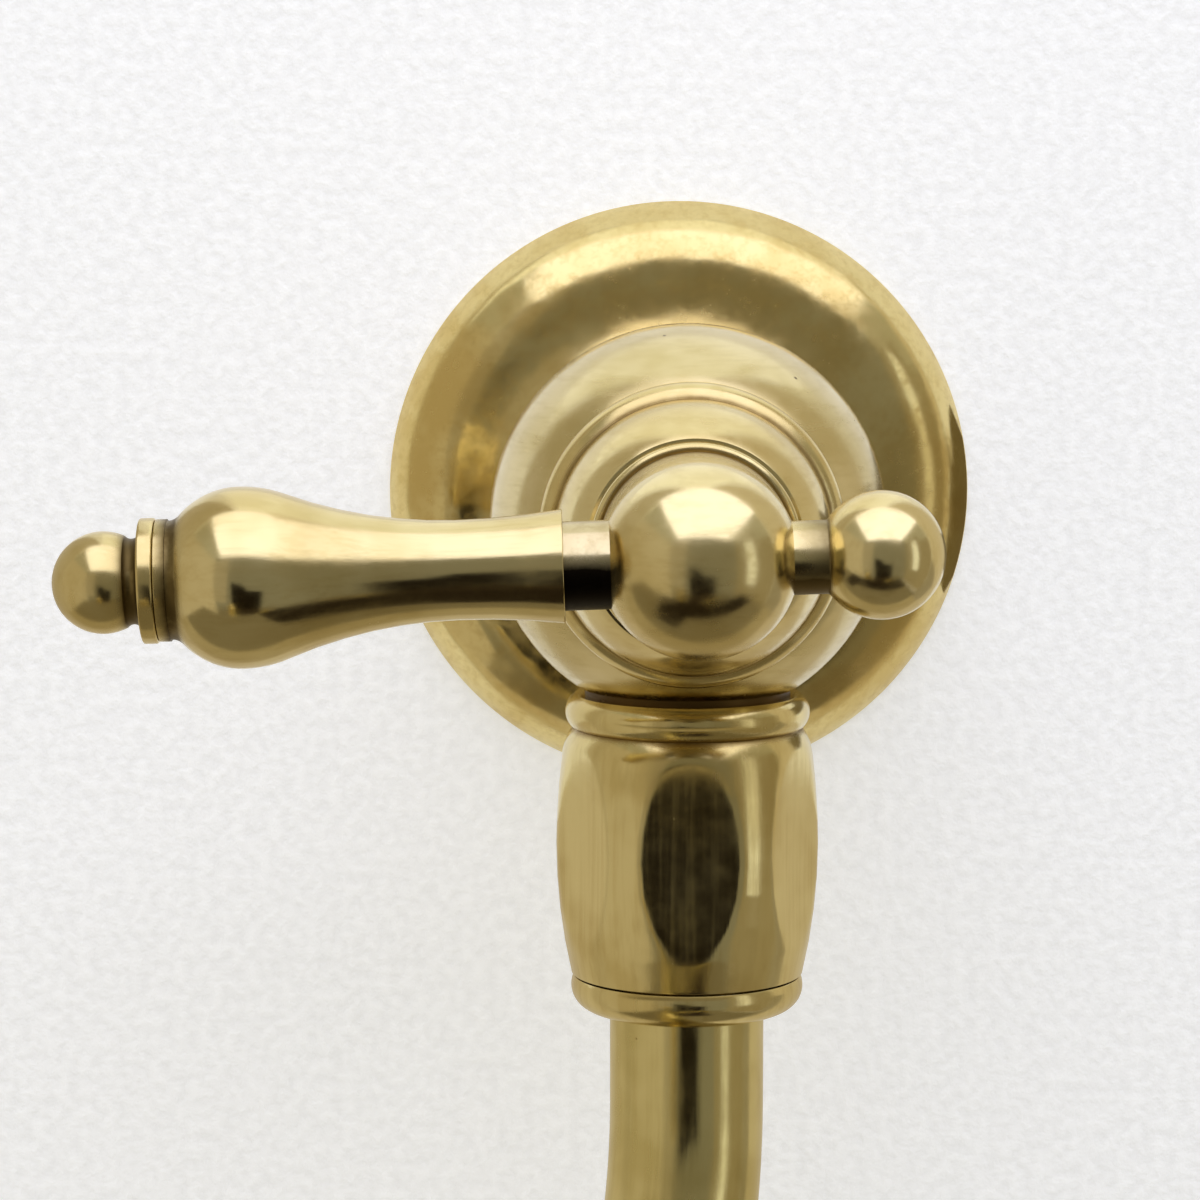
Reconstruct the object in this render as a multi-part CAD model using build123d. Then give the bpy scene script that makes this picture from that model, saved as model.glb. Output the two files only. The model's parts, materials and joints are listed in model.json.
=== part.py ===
from build123d import *
import math
import os

os.makedirs("parts", exist_ok=True)

# Wall mounted pot filler, in millimetres. +Z is up and the wall is the XZ plane. The origin is the
# centre of the flange's back face, the valve stands out of the wall along -Y, and +X is to the
# right of someone who faces the wall. Distances from the wall are measured along -Y.

# Fits between neighbours, as radial or axial play
braze_fit = 0.03        # brazed or pressed joint
thread_fit = 0.07       # mating thread, drawn as plain cylinders at the major diameter
running_fit = 0.08      # shaft that turns in its bore
seat_fit = 0.05         # faces that are clamped together
turning_gap = 0.3       # visible seam between a fixed and a turning piece
cut_past = 1.0          # how far a cut runs past the surface that it opens

# Wall flange, spun from sheet
flange_r = 38.0
flange_lip = 1.2        # straight edge that stands on the wall
flange_crest_r = 29.0   # circle where the rounded rim turns into the hollow curve
flange_crest = 7.9      # height of the flange on that circle
flange_collar_r = 15.5
flange_collar_start = 13.5
flange_collar_end = 17.0
flange_skin = 1.6
flange_seal_height = 2.5
flange_seal_width = 2.2
flange_screw_r = 1.5
flange_screw_depth = 0.2    # how far the screw lies under the collar's surface
flange_screw_key_depth = 1.0

# Valve body, a ball with a neck to the wall and a boss below
ball_out = 41.0         # distance of the ball's centre from the wall
ball_r = 24.2
front_face_r = 18.15    # flat on the front of the ball that the bonnet stands on
boss_seat_r = 13.2      # flat under the ball around the boss
neck_r = 13.0
neck_start = 9.0
socket_floor = 22.0     # bottom of the socket for the inlet shank
chamber_floor = 33.0    # seat of the headwork
chamber_r = 10.55
seat_hole_r = 5.0
outlet_r = 6.0
front_rebate_r = 12.8
front_rebate_depth = 1.5

# Inlet shank, half inch parallel pipe thread
shank_r = 10.48
shank_out = 18.0        # length that stands behind the flange
shank_waist_r = 9.6     # plain stretch between the two threads
shank_bore_r = 6.4
shank_key_flat = 6.7    # half width across the flats of the hexagon for the fitting key
shank_key_depth = 9.0
shank_nose = 2.9
shank_nose_r = 5.2
strainer_thickness = 1.0
strainer_hole_r = 0.6
strainer_pitch = 2.2

# Bonnet, a turned dome with a bead at its foot
bead_height = 3.05
bead_swell = 0.55       # how far the bead stands out from the straight line between its edges
bead_crest = 1.9        # height of the bead's fullest circle
dome_foot_r = 16.4
dome_height = 10.5
dome_top_r = 12.6
bonnet_roof = 2.0
bonnet_hole_r = 6.5
bonnet_hex_room = 1.0   # room around the housing's hexagon

# Headwork: quarter turn ceramic cartridge
housing_flange_r = 13.5
housing_flange_height = 3.3
housing_thread = 8.0
cage_r = 8.8
cage_bore_r = 7.6
cage_foot = 0.7         # height of the cage above the seat, so that the seal stands proud
hex_flat = 9.0          # half width across the spanner flats
hex_height = 4.15
housing_neck_r = 8.0
housing_neck_height = 2.5
base_seal_height = 1.8
disc_height = 3.0
disc_port_inner_r = 2.0
disc_port_outer_r = 6.2
disc_port_half_angle = 34.0
disc_ear_width = 3.0
drive_height = 6.0
drive_bar = 6.0
drive_tab_height = 1.5
window_width = 8.0
window_height = 4.5
window_margin = 0.5

# Stem of the headwork
stem_r = 4.0
stem_groove_r = 2.9
stem_groove_width = 1.8
stem_groove_first = 3.2     # distance from the drive bar to the first groove
stem_groove_pitch = 3.6
spline_root_r = 3.15
spline_tip_r = 3.55
spline_teeth = 20
spline_length = 12.0
spline_fit = 0.05
spline_end_back = 1.0   # distance of the stem's end behind the centre of the hub's ball end
clip_height = 0.8
clip_groove_r = 3.3
clip_r = 5.4

# Handle hub
handle_droop = 2.0      # degrees that the closed lever hangs below the level
hub_gap = 0.4           # seam between bonnet and hub
hub_r = 11.2
hub_length = 14.0       # from the skirt's edge to the centre of the ball end
skirt_r = 12.2
skirt_height = 1.3
hub_hollow_r = 10.2
hub_hollow_depth = 3.0
hub_bore_depth = 13.5
hub_pocket_floor = 9.3  # depth of the spot faces for the lever and the finial, from the hub's axis
hub_thread_floor = 6.9
hub_screw_r = 2.0
hub_screw_back = 7.0    # distance of the set screw behind the centre of the ball end
hub_screw_depth = 0.6
hub_screw_key_depth = 2.0

# Lever, all distances from the hub's axis
lever_start = 15.2
lever_mouth_r = 6.4
lever_waist_at = 27.0
lever_waist_r = 5.6
lever_swell_at = 46.0
lever_swell_r = 9.2
lever_crown_at = 51.2
lever_crown_r = 10.2
lever_heel_at = 57.9
lever_heel_r = 7.2
lever_neck_at = 59.2
lever_neck_r = 6.65
lever_end = 60.5
lever_ring_r = 6.85
stud_neck_r = 5.0
stud_hub_thread_r = 3.45
stud_lever_thread_r = 3.95
stud_lever_depth = 10.0
lever_bore_extra = 1.0
finial_ring_r = 7.05
finial_ring_width = 1.8
finial_ring_round = 0.35
finial_neck_r = 4.8
finial_ball_r = 5.75
finial_ball_at = 66.6
finial_thread_r = 2.45
finial_thread_length = 8.0

# Small finial opposite the lever
knob_neck_r = 4.15
knob_ball_r = 7.25
knob_ball_at = 20.3
knob_thread_r = 2.95

# Swivel, the same under the valve body and under the elbow. Drops are measured down from the
# flat under the ball.
boss_neck_r = 12.6
boss_root = 4.0         # how deep the boss is rooted in the ball
boss_thread_r = 12.0
boss_length = 17.2
boss_socket_top = 3.5
nut_top = 0.8
nut_length = 34.7
nut_top_r = 13.8
nut_bead_r = 14.92
nut_bead_drop = 1.5
nut_bead_height = 4.15
nut_crease_r = 14.07
nut_shoulder_r = 15.4
nut_shoulder_drop = 3.4
nut_belly_r = 16.12
nut_belly_drop = 18.6
nut_foot_r = 14.25
nut_flat = 14.9         # distance of the six oval flats from the axis
washer_height = 0.5
collar_r = 11.8         # collar of the tail, held between the washers
collar_height = 3.0
plug_r = 8.42
plug_start = 4.0
plug_bore_r = 5.3
plug_groove_r = 6.9
plug_groove_width = 2.2
plug_groove_first = 2.5
plug_groove_pitch = 5.0
tail_stem_r = 10.6
tail_socket_depth = 12.0
ferrule_r = 14.3
ferrule_round = 3.8     # radius of its shoulder
ferrule_land = 0.5
ferrule_overlap = 2.2   # length of the ferrule on the tail's stem

# Arms
tube_r = 9.5
tube_wall = 1.2
bend_r = 40.0
bend_start = 12.0       # straight tube between ferrule and bend
first_arm_length = 240.0
second_arm_length = 220.0
first_arm_turn = -20.0  # degrees from straight out, seen from above, + to the right
second_arm_turn = 62.0  # the same, for the second arm

# Elbow between the arms
elbow_r = 19.0
elbow_neck_r = 12.0
elbow_reach = 24.0
elbow_rim_r = 13.4
elbow_rim_width = 2.6
elbow_socket_floor = 12.0
elbow_collar_land = 1.4

# Outlet at the end of the second arm
spout_drop = 14.0
spout_collar_r = 13.7
spout_collar_lap = 8.0
spout_step = 1.5
spout_thread_depth = 9.0
aerator_thread_r = 12.0
aerator_rim_r = 13.2
aerator_rim_height = 2.8
aerator_bore_r = 10.6
aerator_lip_r = 9.6
aerator_lip_height = 1.2
aerator_washer_height = 1.5
aerator_washer_inner_r = 9.5
screen_height = 0.4
cell_hole_r = 0.75
cell_pitch = 2.1


def rod(radius, start, end):
    """Round bar on the Z axis from one height to another."""
    bar = Cylinder(radius, end - start, align=(Align.CENTER, Align.CENTER, Align.MIN))
    return Pos(0, 0, start) * bar


def ring(outer, inner, start, end):
    """Round tube on the Z axis from one height to another."""
    return rod(outer, start, end) - rod(inner, start, end)


def hexagon(half_flats, start, end):
    """Six sided bar on the Z axis, with two of its flats facing along Y."""
    outline = RegularPolygon(half_flats, 6, major_radius=False)
    return Pos(0, 0, start) * extrude(outline, end - start)


def turned(*lines):
    """Solid turned about Z from a closed outline, drawn with x as radius and y as height."""
    edges = [edge for line in lines for edge in line.edges()]
    return revolve(Plane.XZ * make_face(edges), axis=Axis.Z)


def flat_arc_radius(run, rise):
    """Radius of an arc that starts flat and is off by rise after run."""
    return (run**2 + rise**2) / (2 * rise)


def o_ring(floor_r, bore_r, height):
    """Sealing ring between the floor of a groove and the bore around it."""
    section_r = (bore_r - floor_r) / 2 - braze_fit
    return Pos(0, 0, height) * Torus((bore_r + floor_r) / 2, section_r)


def hole_field(reach, pitch, radius, start, end):
    """Round holes on a triangular grid that lie inside a circle of the given reach."""
    rows = math.floor(reach / pitch)
    holes = []
    for row in range(-rows, rows + 1):
        for column in range(-2 * rows, 2 * rows + 1):
            x = pitch * (column + row / 2)
            y = pitch * row * math.sin(math.radians(60))
            if math.hypot(x, y) + radius <= reach:
                holes.append(Pos(x, y, 0) * rod(radius, start, end))
    return holes


def star(root_r, tip_r, start, end):
    """Splined bar on the Z axis."""
    step = math.pi / spline_teeth
    corners = []
    for corner in range(2 * spline_teeth):
        radius = tip_r if corner % 2 else root_r
        corners.append((radius * math.cos(corner * step), radius * math.sin(corner * step)))
    return Pos(0, 0, start) * extrude(make_face(Polyline(*corners, close=True)), end - start)


# Places that pieces share
front_face = ball_out + math.sqrt(ball_r**2 - front_face_r**2)
ball_seat = math.sqrt(ball_r**2 - boss_seat_r**2)
elbow_seat = math.sqrt(elbow_r**2 - boss_seat_r**2)
bonnet_foot = front_face + seat_fit
bonnet_end = bonnet_foot + bead_height + dome_height
hub_back = bonnet_end + hub_gap
handle_out = hub_back + hub_length

nut_end = nut_top + nut_length
collar_start = boss_length + washer_height + 2 * seat_fit
collar_end = collar_start + collar_height
nut_ledge = collar_end + washer_height + 2 * seat_fit
ferrule_start = nut_end + turning_gap
tail_end = ferrule_start + ferrule_overlap
tube_fit_r = tube_r + braze_fit
ferrule_end = ferrule_start + ferrule_land + ferrule_round
tube_start = tail_end - tail_socket_depth
bend_drop = ferrule_end + bend_start
arm_drop = bend_drop + bend_r
tube_bore_r = tube_r - tube_wall

# Frames: each turned piece is made on Z and set on one of these
valve_axis = Rot(X=90)
swivel_axis = Pos(0, -ball_out, -ball_seat) * Rot(X=180)
lever_axis = Pos(0, -handle_out, 0) * Rot(Y=-90)
knob_axis = Pos(0, -handle_out, 0) * Rot(Y=90)
first_arm = Pos(0, -ball_out, 0) * Rot(Z=first_arm_turn)
elbow = first_arm * Pos(0, -first_arm_length, -ball_seat - arm_drop)
elbow_swivel_axis = elbow * Pos(0, 0, -elbow_seat) * Rot(X=180)
second_arm = elbow * Rot(Z=second_arm_turn - first_arm_turn)
spout_axis = (
    second_arm
    * Pos(0, -second_arm_length, -elbow_seat - arm_drop - bend_r - spout_drop)
    * Rot(X=180)
)

turned_handle = Rot(Y=-handle_droop)
pieces = {}


# ---- wall flange with its seal and set screw
neck_bore_r = neck_r + running_fit
rim_radius = flat_arc_radius(flange_r - flange_crest_r, flange_crest - flange_lip)
hollow_radius = flat_arc_radius(
    flange_crest_r - flange_collar_r, flange_collar_start - flange_crest
)
rim_centre = flange_crest - rim_radius
hollow_centre = flange_crest + hollow_radius


def rim_inside(height):
    """Radius of the inside of the flange's rounded rim at a height."""
    return flange_crest_r + math.sqrt((rim_radius - flange_skin) ** 2 - (height - rim_centre) ** 2)


collar_foot = hollow_centre - math.sqrt(
    (hollow_radius + flange_skin) ** 2 - (flange_crest_r - neck_bore_r) ** 2
)
flange_shell = turned(
    TangentArc((flange_crest_r, flange_crest), (flange_r, flange_lip), tangent=(1, 0)),
    Polyline((flange_r, flange_lip), (flange_r, 0), (rim_inside(0), 0)),
    TangentArc(
        (flange_crest_r, flange_crest - flange_skin), (rim_inside(0), 0), tangent=(1, 0)
    ),
    TangentArc(
        (flange_crest_r, flange_crest - flange_skin), (neck_bore_r, collar_foot), tangent=(-1, 0)
    ),
    Polyline(
        (neck_bore_r, collar_foot),
        (neck_bore_r, flange_collar_end),
        (flange_collar_r, flange_collar_end),
        (flange_collar_r, flange_collar_start),
    ),
    TangentArc(
        (flange_crest_r, flange_crest), (flange_collar_r, flange_collar_start), tangent=(-1, 0)
    ),
)
flange_screw_out = (flange_collar_start + flange_collar_end) / 2
flange_screw_axis = Pos(0, -flange_screw_out, 0) * Rot(X=180)
flange_screw_hole = rod(flange_screw_r + seat_fit, neck_r, flange_collar_r + cut_past)
pieces["wall_flange"] = valve_axis * flange_shell - flange_screw_axis * flange_screw_hole
flange_screw_end = flange_collar_r - flange_screw_depth
flange_screw = rod(flange_screw_r, neck_r + seat_fit, flange_screw_end)
flange_screw -= hexagon(
    flange_screw_r / 2, flange_screw_end - flange_screw_key_depth, flange_screw_end
)
pieces["flange_set_screw"] = flange_screw_axis * flange_screw

seal_r = min(rim_inside(0), rim_inside(flange_seal_height)) - 2 * running_fit
pieces["flange_seal"] = valve_axis * ring(seal_r, seal_r - flange_seal_width, 0, flange_seal_height)


# ---- inlet shank and its strainer
shank_end = socket_floor - seat_fit
shank = rod(shank_r, -shank_out, shank_end)
shank -= ring(shank_r + cut_past, shank_waist_r, 0, neck_start)
shank -= rod(shank_bore_r, -shank_out, shank_end - shank_nose)
shank -= rod(shank_nose_r, -shank_out, shank_end)
shank -= hexagon(shank_key_flat, -shank_out, -shank_out + shank_key_depth)
pieces["inlet_shank"] = valve_axis * shank

strainer_end = shank_end - shank_nose - seat_fit
strainer_start = strainer_end - strainer_thickness
strainer = rod(shank_bore_r - running_fit, strainer_start, strainer_end)
strainer -= hole_field(shank_nose_r, strainer_pitch, strainer_hole_r, strainer_start, strainer_end)
pieces["inlet_strainer"] = valve_axis * strainer


# ---- swivel pieces, with their drop along +Z
boss_socket_r = plug_r + running_fit


def boss():
    """Threaded boss that hangs under a ball, without its bores."""
    return rod(boss_neck_r, -boss_root, nut_top) + rod(boss_thread_r, nut_top, boss_length)


def boss_bores(centre):
    """Water way from the ball's centre and the socket that the tail's plug turns in."""
    return rod(outlet_r, -centre, boss_length) + rod(boss_socket_r, boss_socket_top, boss_length)


def barrel_nut():
    """Barrel shaped nut with a bead at its top and six oval flats."""
    thread_r = boss_thread_r + thread_fit
    guide_r = tail_stem_r + running_fit
    crease = nut_top + nut_bead_height
    shoulder = crease + nut_shoulder_drop
    belly = nut_top + nut_belly_drop
    upper = TangentArc((nut_belly_r, belly), (nut_shoulder_r, shoulder), tangent=(0, -1))
    body = turned(
        Line((thread_r, nut_top), (nut_top_r, nut_top)),
        ThreePointArc(
            (nut_top_r, nut_top), (nut_bead_r, nut_top + nut_bead_drop), (nut_crease_r, crease)
        ),
        TangentArc((nut_shoulder_r, shoulder), (nut_crease_r, crease), tangent=upper % 1),
        upper,
        TangentArc((nut_belly_r, belly), (nut_foot_r, nut_end), tangent=(0, 1)),
        Polyline(
            (nut_foot_r, nut_end),
            (guide_r, nut_end),
            (guide_r, nut_ledge),
            (thread_r, nut_ledge),
            (thread_r, nut_top),
        ),
    )
    outside_flats = rod(2 * nut_flat, crease, nut_end) - hexagon(nut_flat, crease, nut_end)
    return body - outside_flats


def swivel_tail():
    """Tail that turns in the boss: plug with two grooves, collar, stem and socket for the tube."""
    tail = rod(plug_r, plug_start, collar_start)
    tail += rod(collar_r, collar_start, collar_end)
    tail += rod(tail_stem_r, collar_end, tail_end)
    tail -= rod(plug_bore_r, plug_start, tail_end)
    tail -= rod(tube_fit_r, tube_start, tail_end)
    for groove in range(2):
        start = plug_start + plug_groove_first + groove * plug_groove_pitch
        tail -= ring(plug_r + cut_past, plug_groove_r, start, start + plug_groove_width)
    return tail


def tail_o_rings():
    """The two sealing rings of the tail."""
    first = plug_start + plug_groove_first + plug_groove_width / 2
    heights = [first, first + plug_groove_pitch]
    return Compound([o_ring(plug_groove_r, boss_socket_r, height) for height in heights])


def thrust_washer(inner_r, start):
    """Slippery washer between the tail's collar and a fixed face."""
    return ring(boss_thread_r, inner_r, start, start + washer_height)


def ferrule():
    """Round shouldered ring that hides the joint of tail and tube."""
    stem_fit_r = tail_stem_r + braze_fit
    land_end = ferrule_start + ferrule_land
    return turned(
        Polyline(
            (stem_fit_r, ferrule_start), (ferrule_r, ferrule_start), (ferrule_r, land_end)
        ),
        TangentArc(
            (ferrule_r, land_end), (ferrule_r - ferrule_round, ferrule_end), tangent=(0, 1)
        ),
        Polyline(
            (ferrule_r - ferrule_round, ferrule_end),
            (tube_fit_r, ferrule_end),
            (tube_fit_r, tail_end),
            (stem_fit_r, tail_end),
            (stem_fit_r, ferrule_start),
        ),
    )


def place_swivel(prefix, axis):
    """Add one swivel's pieces to the model."""
    pieces[prefix + "barrel_nut"] = axis * barrel_nut()
    upper_washer = thrust_washer(plug_r + running_fit, boss_length + seat_fit)
    lower_washer = thrust_washer(tail_stem_r + 2 * running_fit, collar_end + seat_fit)
    pieces[prefix + "upper_thrust_washer"] = axis * upper_washer
    pieces[prefix + "lower_thrust_washer"] = axis * lower_washer
    pieces[prefix + "swivel_tail"] = axis * swivel_tail()
    pieces[prefix + "swivel_o_rings"] = axis * tail_o_rings()
    pieces[prefix + "ferrule"] = axis * ferrule()


# ---- valve body
body = Pos(0, -ball_out, 0) * Sphere(ball_r) + valve_axis * rod(neck_r, neck_start, ball_out)
body -= valve_axis * rod(ball_r, front_face, ball_out + ball_r)
body -= swivel_axis * rod(ball_r, 0, ball_r)
body += swivel_axis * boss()
body -= valve_axis * rod(shank_r + thread_fit, neck_start, socket_floor)
body -= valve_axis * rod(seat_hole_r, socket_floor, chamber_floor)
body -= valve_axis * rod(chamber_r, chamber_floor, front_face)
body -= valve_axis * rod(front_rebate_r, front_face - front_rebate_depth, front_face)
body -= swivel_axis * boss_bores(ball_seat)
pieces["valve_body"] = body
place_swivel("", swivel_axis)


# ---- bonnet
dome_foot = bonnet_foot + bead_height
bonnet = turned(
    Line((0, bonnet_foot), (front_face_r, bonnet_foot)),
    ThreePointArc(
        (front_face_r, bonnet_foot),
        ((front_face_r + dome_foot_r) / 2 + bead_swell, bonnet_foot + bead_crest),
        (dome_foot_r, dome_foot),
    ),
    TangentArc((dome_foot_r, dome_foot), (dome_top_r, bonnet_end), tangent=(0, 1)),
    Polyline((dome_top_r, bonnet_end), (0, bonnet_end), (0, bonnet_foot)),
)
housing_hex_end = bonnet_foot + housing_flange_height + hex_height
bonnet -= rod(housing_flange_r + thread_fit, bonnet_foot, housing_hex_end)
bonnet_inside_r = hex_flat / math.cos(math.radians(30)) + bonnet_hex_room
bonnet -= rod(bonnet_inside_r, housing_hex_end, bonnet_end - bonnet_roof)
bonnet -= rod(bonnet_hole_r, bonnet_foot, bonnet_end)
pieces["bonnet"] = valve_axis * bonnet


# ---- headwork
seal_start = chamber_floor + seat_fit
fixed_start = seal_start + base_seal_height + seat_fit
moving_start = fixed_start + disc_height + seat_fit
drive_start = moving_start + disc_height + seat_fit
drive_end = drive_start + drive_height
housing_end = housing_hex_end + housing_neck_height
stem_bore_r = stem_r + seat_fit
disc_r = cage_bore_r - running_fit
cage_start = chamber_floor + cage_foot

housing = rod(cage_r, cage_start, front_face - housing_thread)
housing += rod(chamber_r - thread_fit, front_face - housing_thread, bonnet_foot)
housing += rod(housing_flange_r, bonnet_foot, bonnet_foot + housing_flange_height)
housing += hexagon(hex_flat, bonnet_foot + housing_flange_height, housing_hex_end)
housing += rod(housing_neck_r, housing_hex_end, housing_end)
housing -= rod(cage_bore_r, cage_start, drive_end + seat_fit)
housing -= rod(stem_bore_r, drive_end, housing_end)
window_start = drive_end - window_height - window_margin
window = Pos(0, 0, window_start + window_height / 2) * Box(4 * cage_r, window_width, window_height)
housing -= window
ear_slot = disc_ear_width + 2 * running_fit
slot_end = fixed_start + disc_height + seat_fit
slot_height = slot_end - cage_start
housing -= Pos(0, 0, cage_start + slot_height / 2) * Box(ear_slot, 4 * cage_r, slot_height)
pieces["headwork_housing"] = valve_axis * housing

pieces["headwork_base_seal"] = valve_axis * ring(
    disc_r, seat_hole_r, seal_start, seal_start + base_seal_height
)


def disc_ports(start, end):
    """The two sector shaped ports of a ceramic disc."""
    sector = ring(disc_port_outer_r, disc_port_inner_r, start, end)
    corner = 2 * disc_port_outer_r * math.tan(math.radians(disc_port_half_angle))
    wedge = make_face(
        Polyline(
            (0, 0),
            (2 * disc_port_outer_r, corner),
            (2 * disc_port_outer_r, -corner),
            close=True,
        )
    )
    wedges = Pos(0, 0, start) * extrude(wedge, end - start)
    wedges += Rot(Z=180) * wedges
    return sector & wedges


fixed_disc = rod(disc_r, fixed_start, fixed_start + disc_height)
ears = Pos(0, 0, fixed_start + disc_height / 2) * Box(disc_ear_width, 2 * cage_r, disc_height)
fixed_disc += ears & rod(cage_r - seat_fit, fixed_start, fixed_start + disc_height)
fixed_disc -= disc_ports(fixed_start, fixed_start + disc_height)
pieces["fixed_ceramic_disc"] = valve_axis * fixed_disc

moving_end = moving_start + disc_height
tab_start = moving_end - drive_tab_height
notch = rod(2 * disc_r, tab_start, moving_end) - rod(disc_port_outer_r, tab_start, moving_end)
notch_bar = Box(4 * disc_r, drive_bar / 2 + 2 * running_fit, 2 * drive_tab_height)
notches = notch & (Pos(0, 0, moving_end) * notch_bar)
moving_disc = rod(disc_r, moving_start, moving_end)
moving_disc -= Rot(Z=90) * disc_ports(moving_start, moving_end)
moving_disc -= notches
pieces["moving_ceramic_disc"] = valve_axis * moving_disc

headwork_ring_r = (front_rebate_r + chamber_r) / 2
headwork_ring_section = min(front_rebate_depth, front_rebate_r - chamber_r) / 2 - seat_fit
pieces["headwork_o_ring"] = valve_axis * (
    Pos(0, 0, front_face - front_rebate_depth / 2) * Torus(headwork_ring_r, headwork_ring_section)
)


# ---- stem, its sealing rings and its clip
clip_start = housing_end + seat_fit
spline_end = handle_out - spline_end_back
spline_start = spline_end - spline_length
stem = rod(disc_r, drive_start, drive_end) & (
    Pos(0, 0, (drive_start + drive_end) / 2) * Box(4 * disc_r, drive_bar, drive_height)
)
tab_ring = ring(disc_r, disc_port_outer_r + running_fit, tab_start + seat_fit, drive_start)
tab_bar = Box(4 * disc_r, drive_bar / 2, 4 * drive_tab_height)
stem += tab_ring & (Pos(0, 0, drive_start) * tab_bar)
stem += rod(stem_r, drive_end, spline_start)
stem += star(spline_root_r, spline_tip_r, spline_start, spline_end)
stem_ring_heights = []
for groove in range(2):
    start = drive_end + stem_groove_first + groove * stem_groove_pitch
    stem -= ring(stem_r + cut_past, stem_groove_r, start, start + stem_groove_width)
    stem_ring_heights.append(start + stem_groove_width / 2)
clip_end = clip_start + clip_height
stem -= ring(stem_r + cut_past, clip_groove_r, clip_start - seat_fit, clip_end + seat_fit)
pieces["stem"] = valve_axis * stem
stem_rings = [o_ring(stem_groove_r, stem_bore_r, height) for height in stem_ring_heights]
pieces["stem_o_rings"] = valve_axis * Compound(stem_rings)
clip = ring(clip_r, clip_groove_r + braze_fit, clip_start, clip_end)
clip -= Pos(0, clip_r, clip_start) * Box(clip_groove_r, 2 * clip_r, 4 * clip_height)
pieces["stem_clip"] = valve_axis * clip


# ---- handle hub and its set screw
skirt_end = hub_back + skirt_height
hub = turned(
    Line((0, hub_back), (skirt_r - skirt_height / 2, hub_back)),
    ThreePointArc(
        (skirt_r - skirt_height / 2, hub_back),
        (skirt_r, hub_back + skirt_height / 2),
        (hub_r, skirt_end),
    ),
    Line((hub_r, skirt_end), (hub_r, handle_out)),
    TangentArc((hub_r, handle_out), (0, handle_out + hub_r), tangent=(0, 1)),
    Line((0, handle_out + hub_r), (0, hub_back)),
)
hub -= rod(hub_hollow_r, hub_back, hub_back + hub_hollow_depth)
hub_bore_end = hub_back + hub_bore_depth
hub -= star(spline_root_r + spline_fit, spline_tip_r + spline_fit, hub_back, hub_bore_end)
hub = valve_axis * hub
hub_screw_axis = Pos(0, -handle_out + hub_screw_back, 0) * Rot(X=180)
hub -= hub_screw_axis * rod(hub_screw_r + seat_fit, 0, 2 * hub_r)
stud_hub_hole_r = stud_hub_thread_r + thread_fit
hub -= lever_axis * rod(stud_hub_hole_r, hub_thread_floor, hub_r)
hub -= lever_axis * rod(stud_neck_r + braze_fit, hub_pocket_floor, 2 * hub_r)
hub -= knob_axis * rod(knob_thread_r + thread_fit, hub_thread_floor, hub_r)
hub -= knob_axis * rod(knob_neck_r + braze_fit, hub_pocket_floor, 2 * hub_r)
pieces["handle_hub"] = hub
hub_screw_end = hub_r - hub_screw_depth
hub_screw = rod(hub_screw_r, spline_tip_r + 2 * spline_fit, hub_screw_end)
hub_screw -= hexagon(hub_screw_r / 2, hub_screw_end - hub_screw_key_depth, hub_screw_end)
pieces["hub_set_screw"] = hub_screw_axis * hub_screw


# ---- lever with its stud and finial
stud = rod(stud_hub_thread_r, hub_thread_floor + seat_fit, hub_pocket_floor + seat_fit)
stud += rod(stud_neck_r, hub_pocket_floor + seat_fit, lever_start - seat_fit)
stud += rod(stud_lever_thread_r, lever_start - seat_fit, lever_start + stud_lever_depth)
pieces["lever_stud"] = lever_axis * stud

lever_swell = TangentArc(
    (lever_waist_r, lever_waist_at), (lever_swell_r, lever_swell_at), tangent=(0, 1)
)
lever_heel = TangentArc(
    (lever_crown_r, lever_crown_at), (lever_heel_r, lever_heel_at), tangent=(0, 1)
)
lever = turned(
    Line((0, lever_start), (lever_mouth_r, lever_start)),
    TangentArc(
        (lever_waist_r, lever_waist_at), (lever_mouth_r, lever_start), tangent=(0, -1)
    ),
    lever_swell,
    TangentArc(
        (lever_crown_r, lever_crown_at), (lever_swell_r, lever_swell_at), tangent=(0, -1)
    ),
    lever_heel,
    TangentArc(
        (lever_heel_r, lever_heel_at), (lever_neck_r, lever_neck_at), tangent=lever_heel % 1
    ),
    Polyline(
        (lever_neck_r, lever_neck_at),
        (lever_ring_r, lever_neck_at),
        (lever_ring_r, lever_end),
        (0, lever_end),
        (0, lever_start),
    ),
)
lever_bore_end = lever_start + stud_lever_depth + lever_bore_extra
lever -= rod(stud_lever_thread_r + thread_fit, lever_start, lever_bore_end)
finial_thread_start = lever_end - finial_thread_length
lever -= rod(finial_thread_r + thread_fit, finial_thread_start - lever_bore_extra, lever_end)
pieces["lever"] = lever_axis * lever


def ball_end(neck_r, neck_start_at, ball_at, ball_radius):
    """Turned neck that runs into a ball."""
    return rod(neck_r, neck_start_at, ball_at) + Pos(0, 0, ball_at) * Sphere(ball_radius)


finial_start = lever_end + seat_fit
finial = rod(finial_ring_r, finial_start, finial_start + finial_ring_width)
finial = fillet(finial.edges().filter_by(GeomType.CIRCLE), finial_ring_round)
finial += ball_end(finial_neck_r, finial_start, finial_ball_at, finial_ball_r)
finial += rod(finial_thread_r, finial_thread_start, finial_start)
pieces["lever_finial"] = lever_axis * finial

knob_start = hub_pocket_floor + seat_fit
knob = ball_end(knob_neck_r, knob_start, knob_ball_at, knob_ball_r)
knob += rod(knob_thread_r, hub_thread_floor + seat_fit, knob_start)
pieces["hub_finial"] = knob_axis * knob

# The handle stands closed with its lever a little below the level
for name in (
    "stem", "stem_clip", "stem_o_rings", "moving_ceramic_disc", "handle_hub", "hub_set_screw",
    "lever_stud", "lever", "lever_finial", "hub_finial",
):
    pieces[name] = turned_handle * pieces[name]


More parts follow.
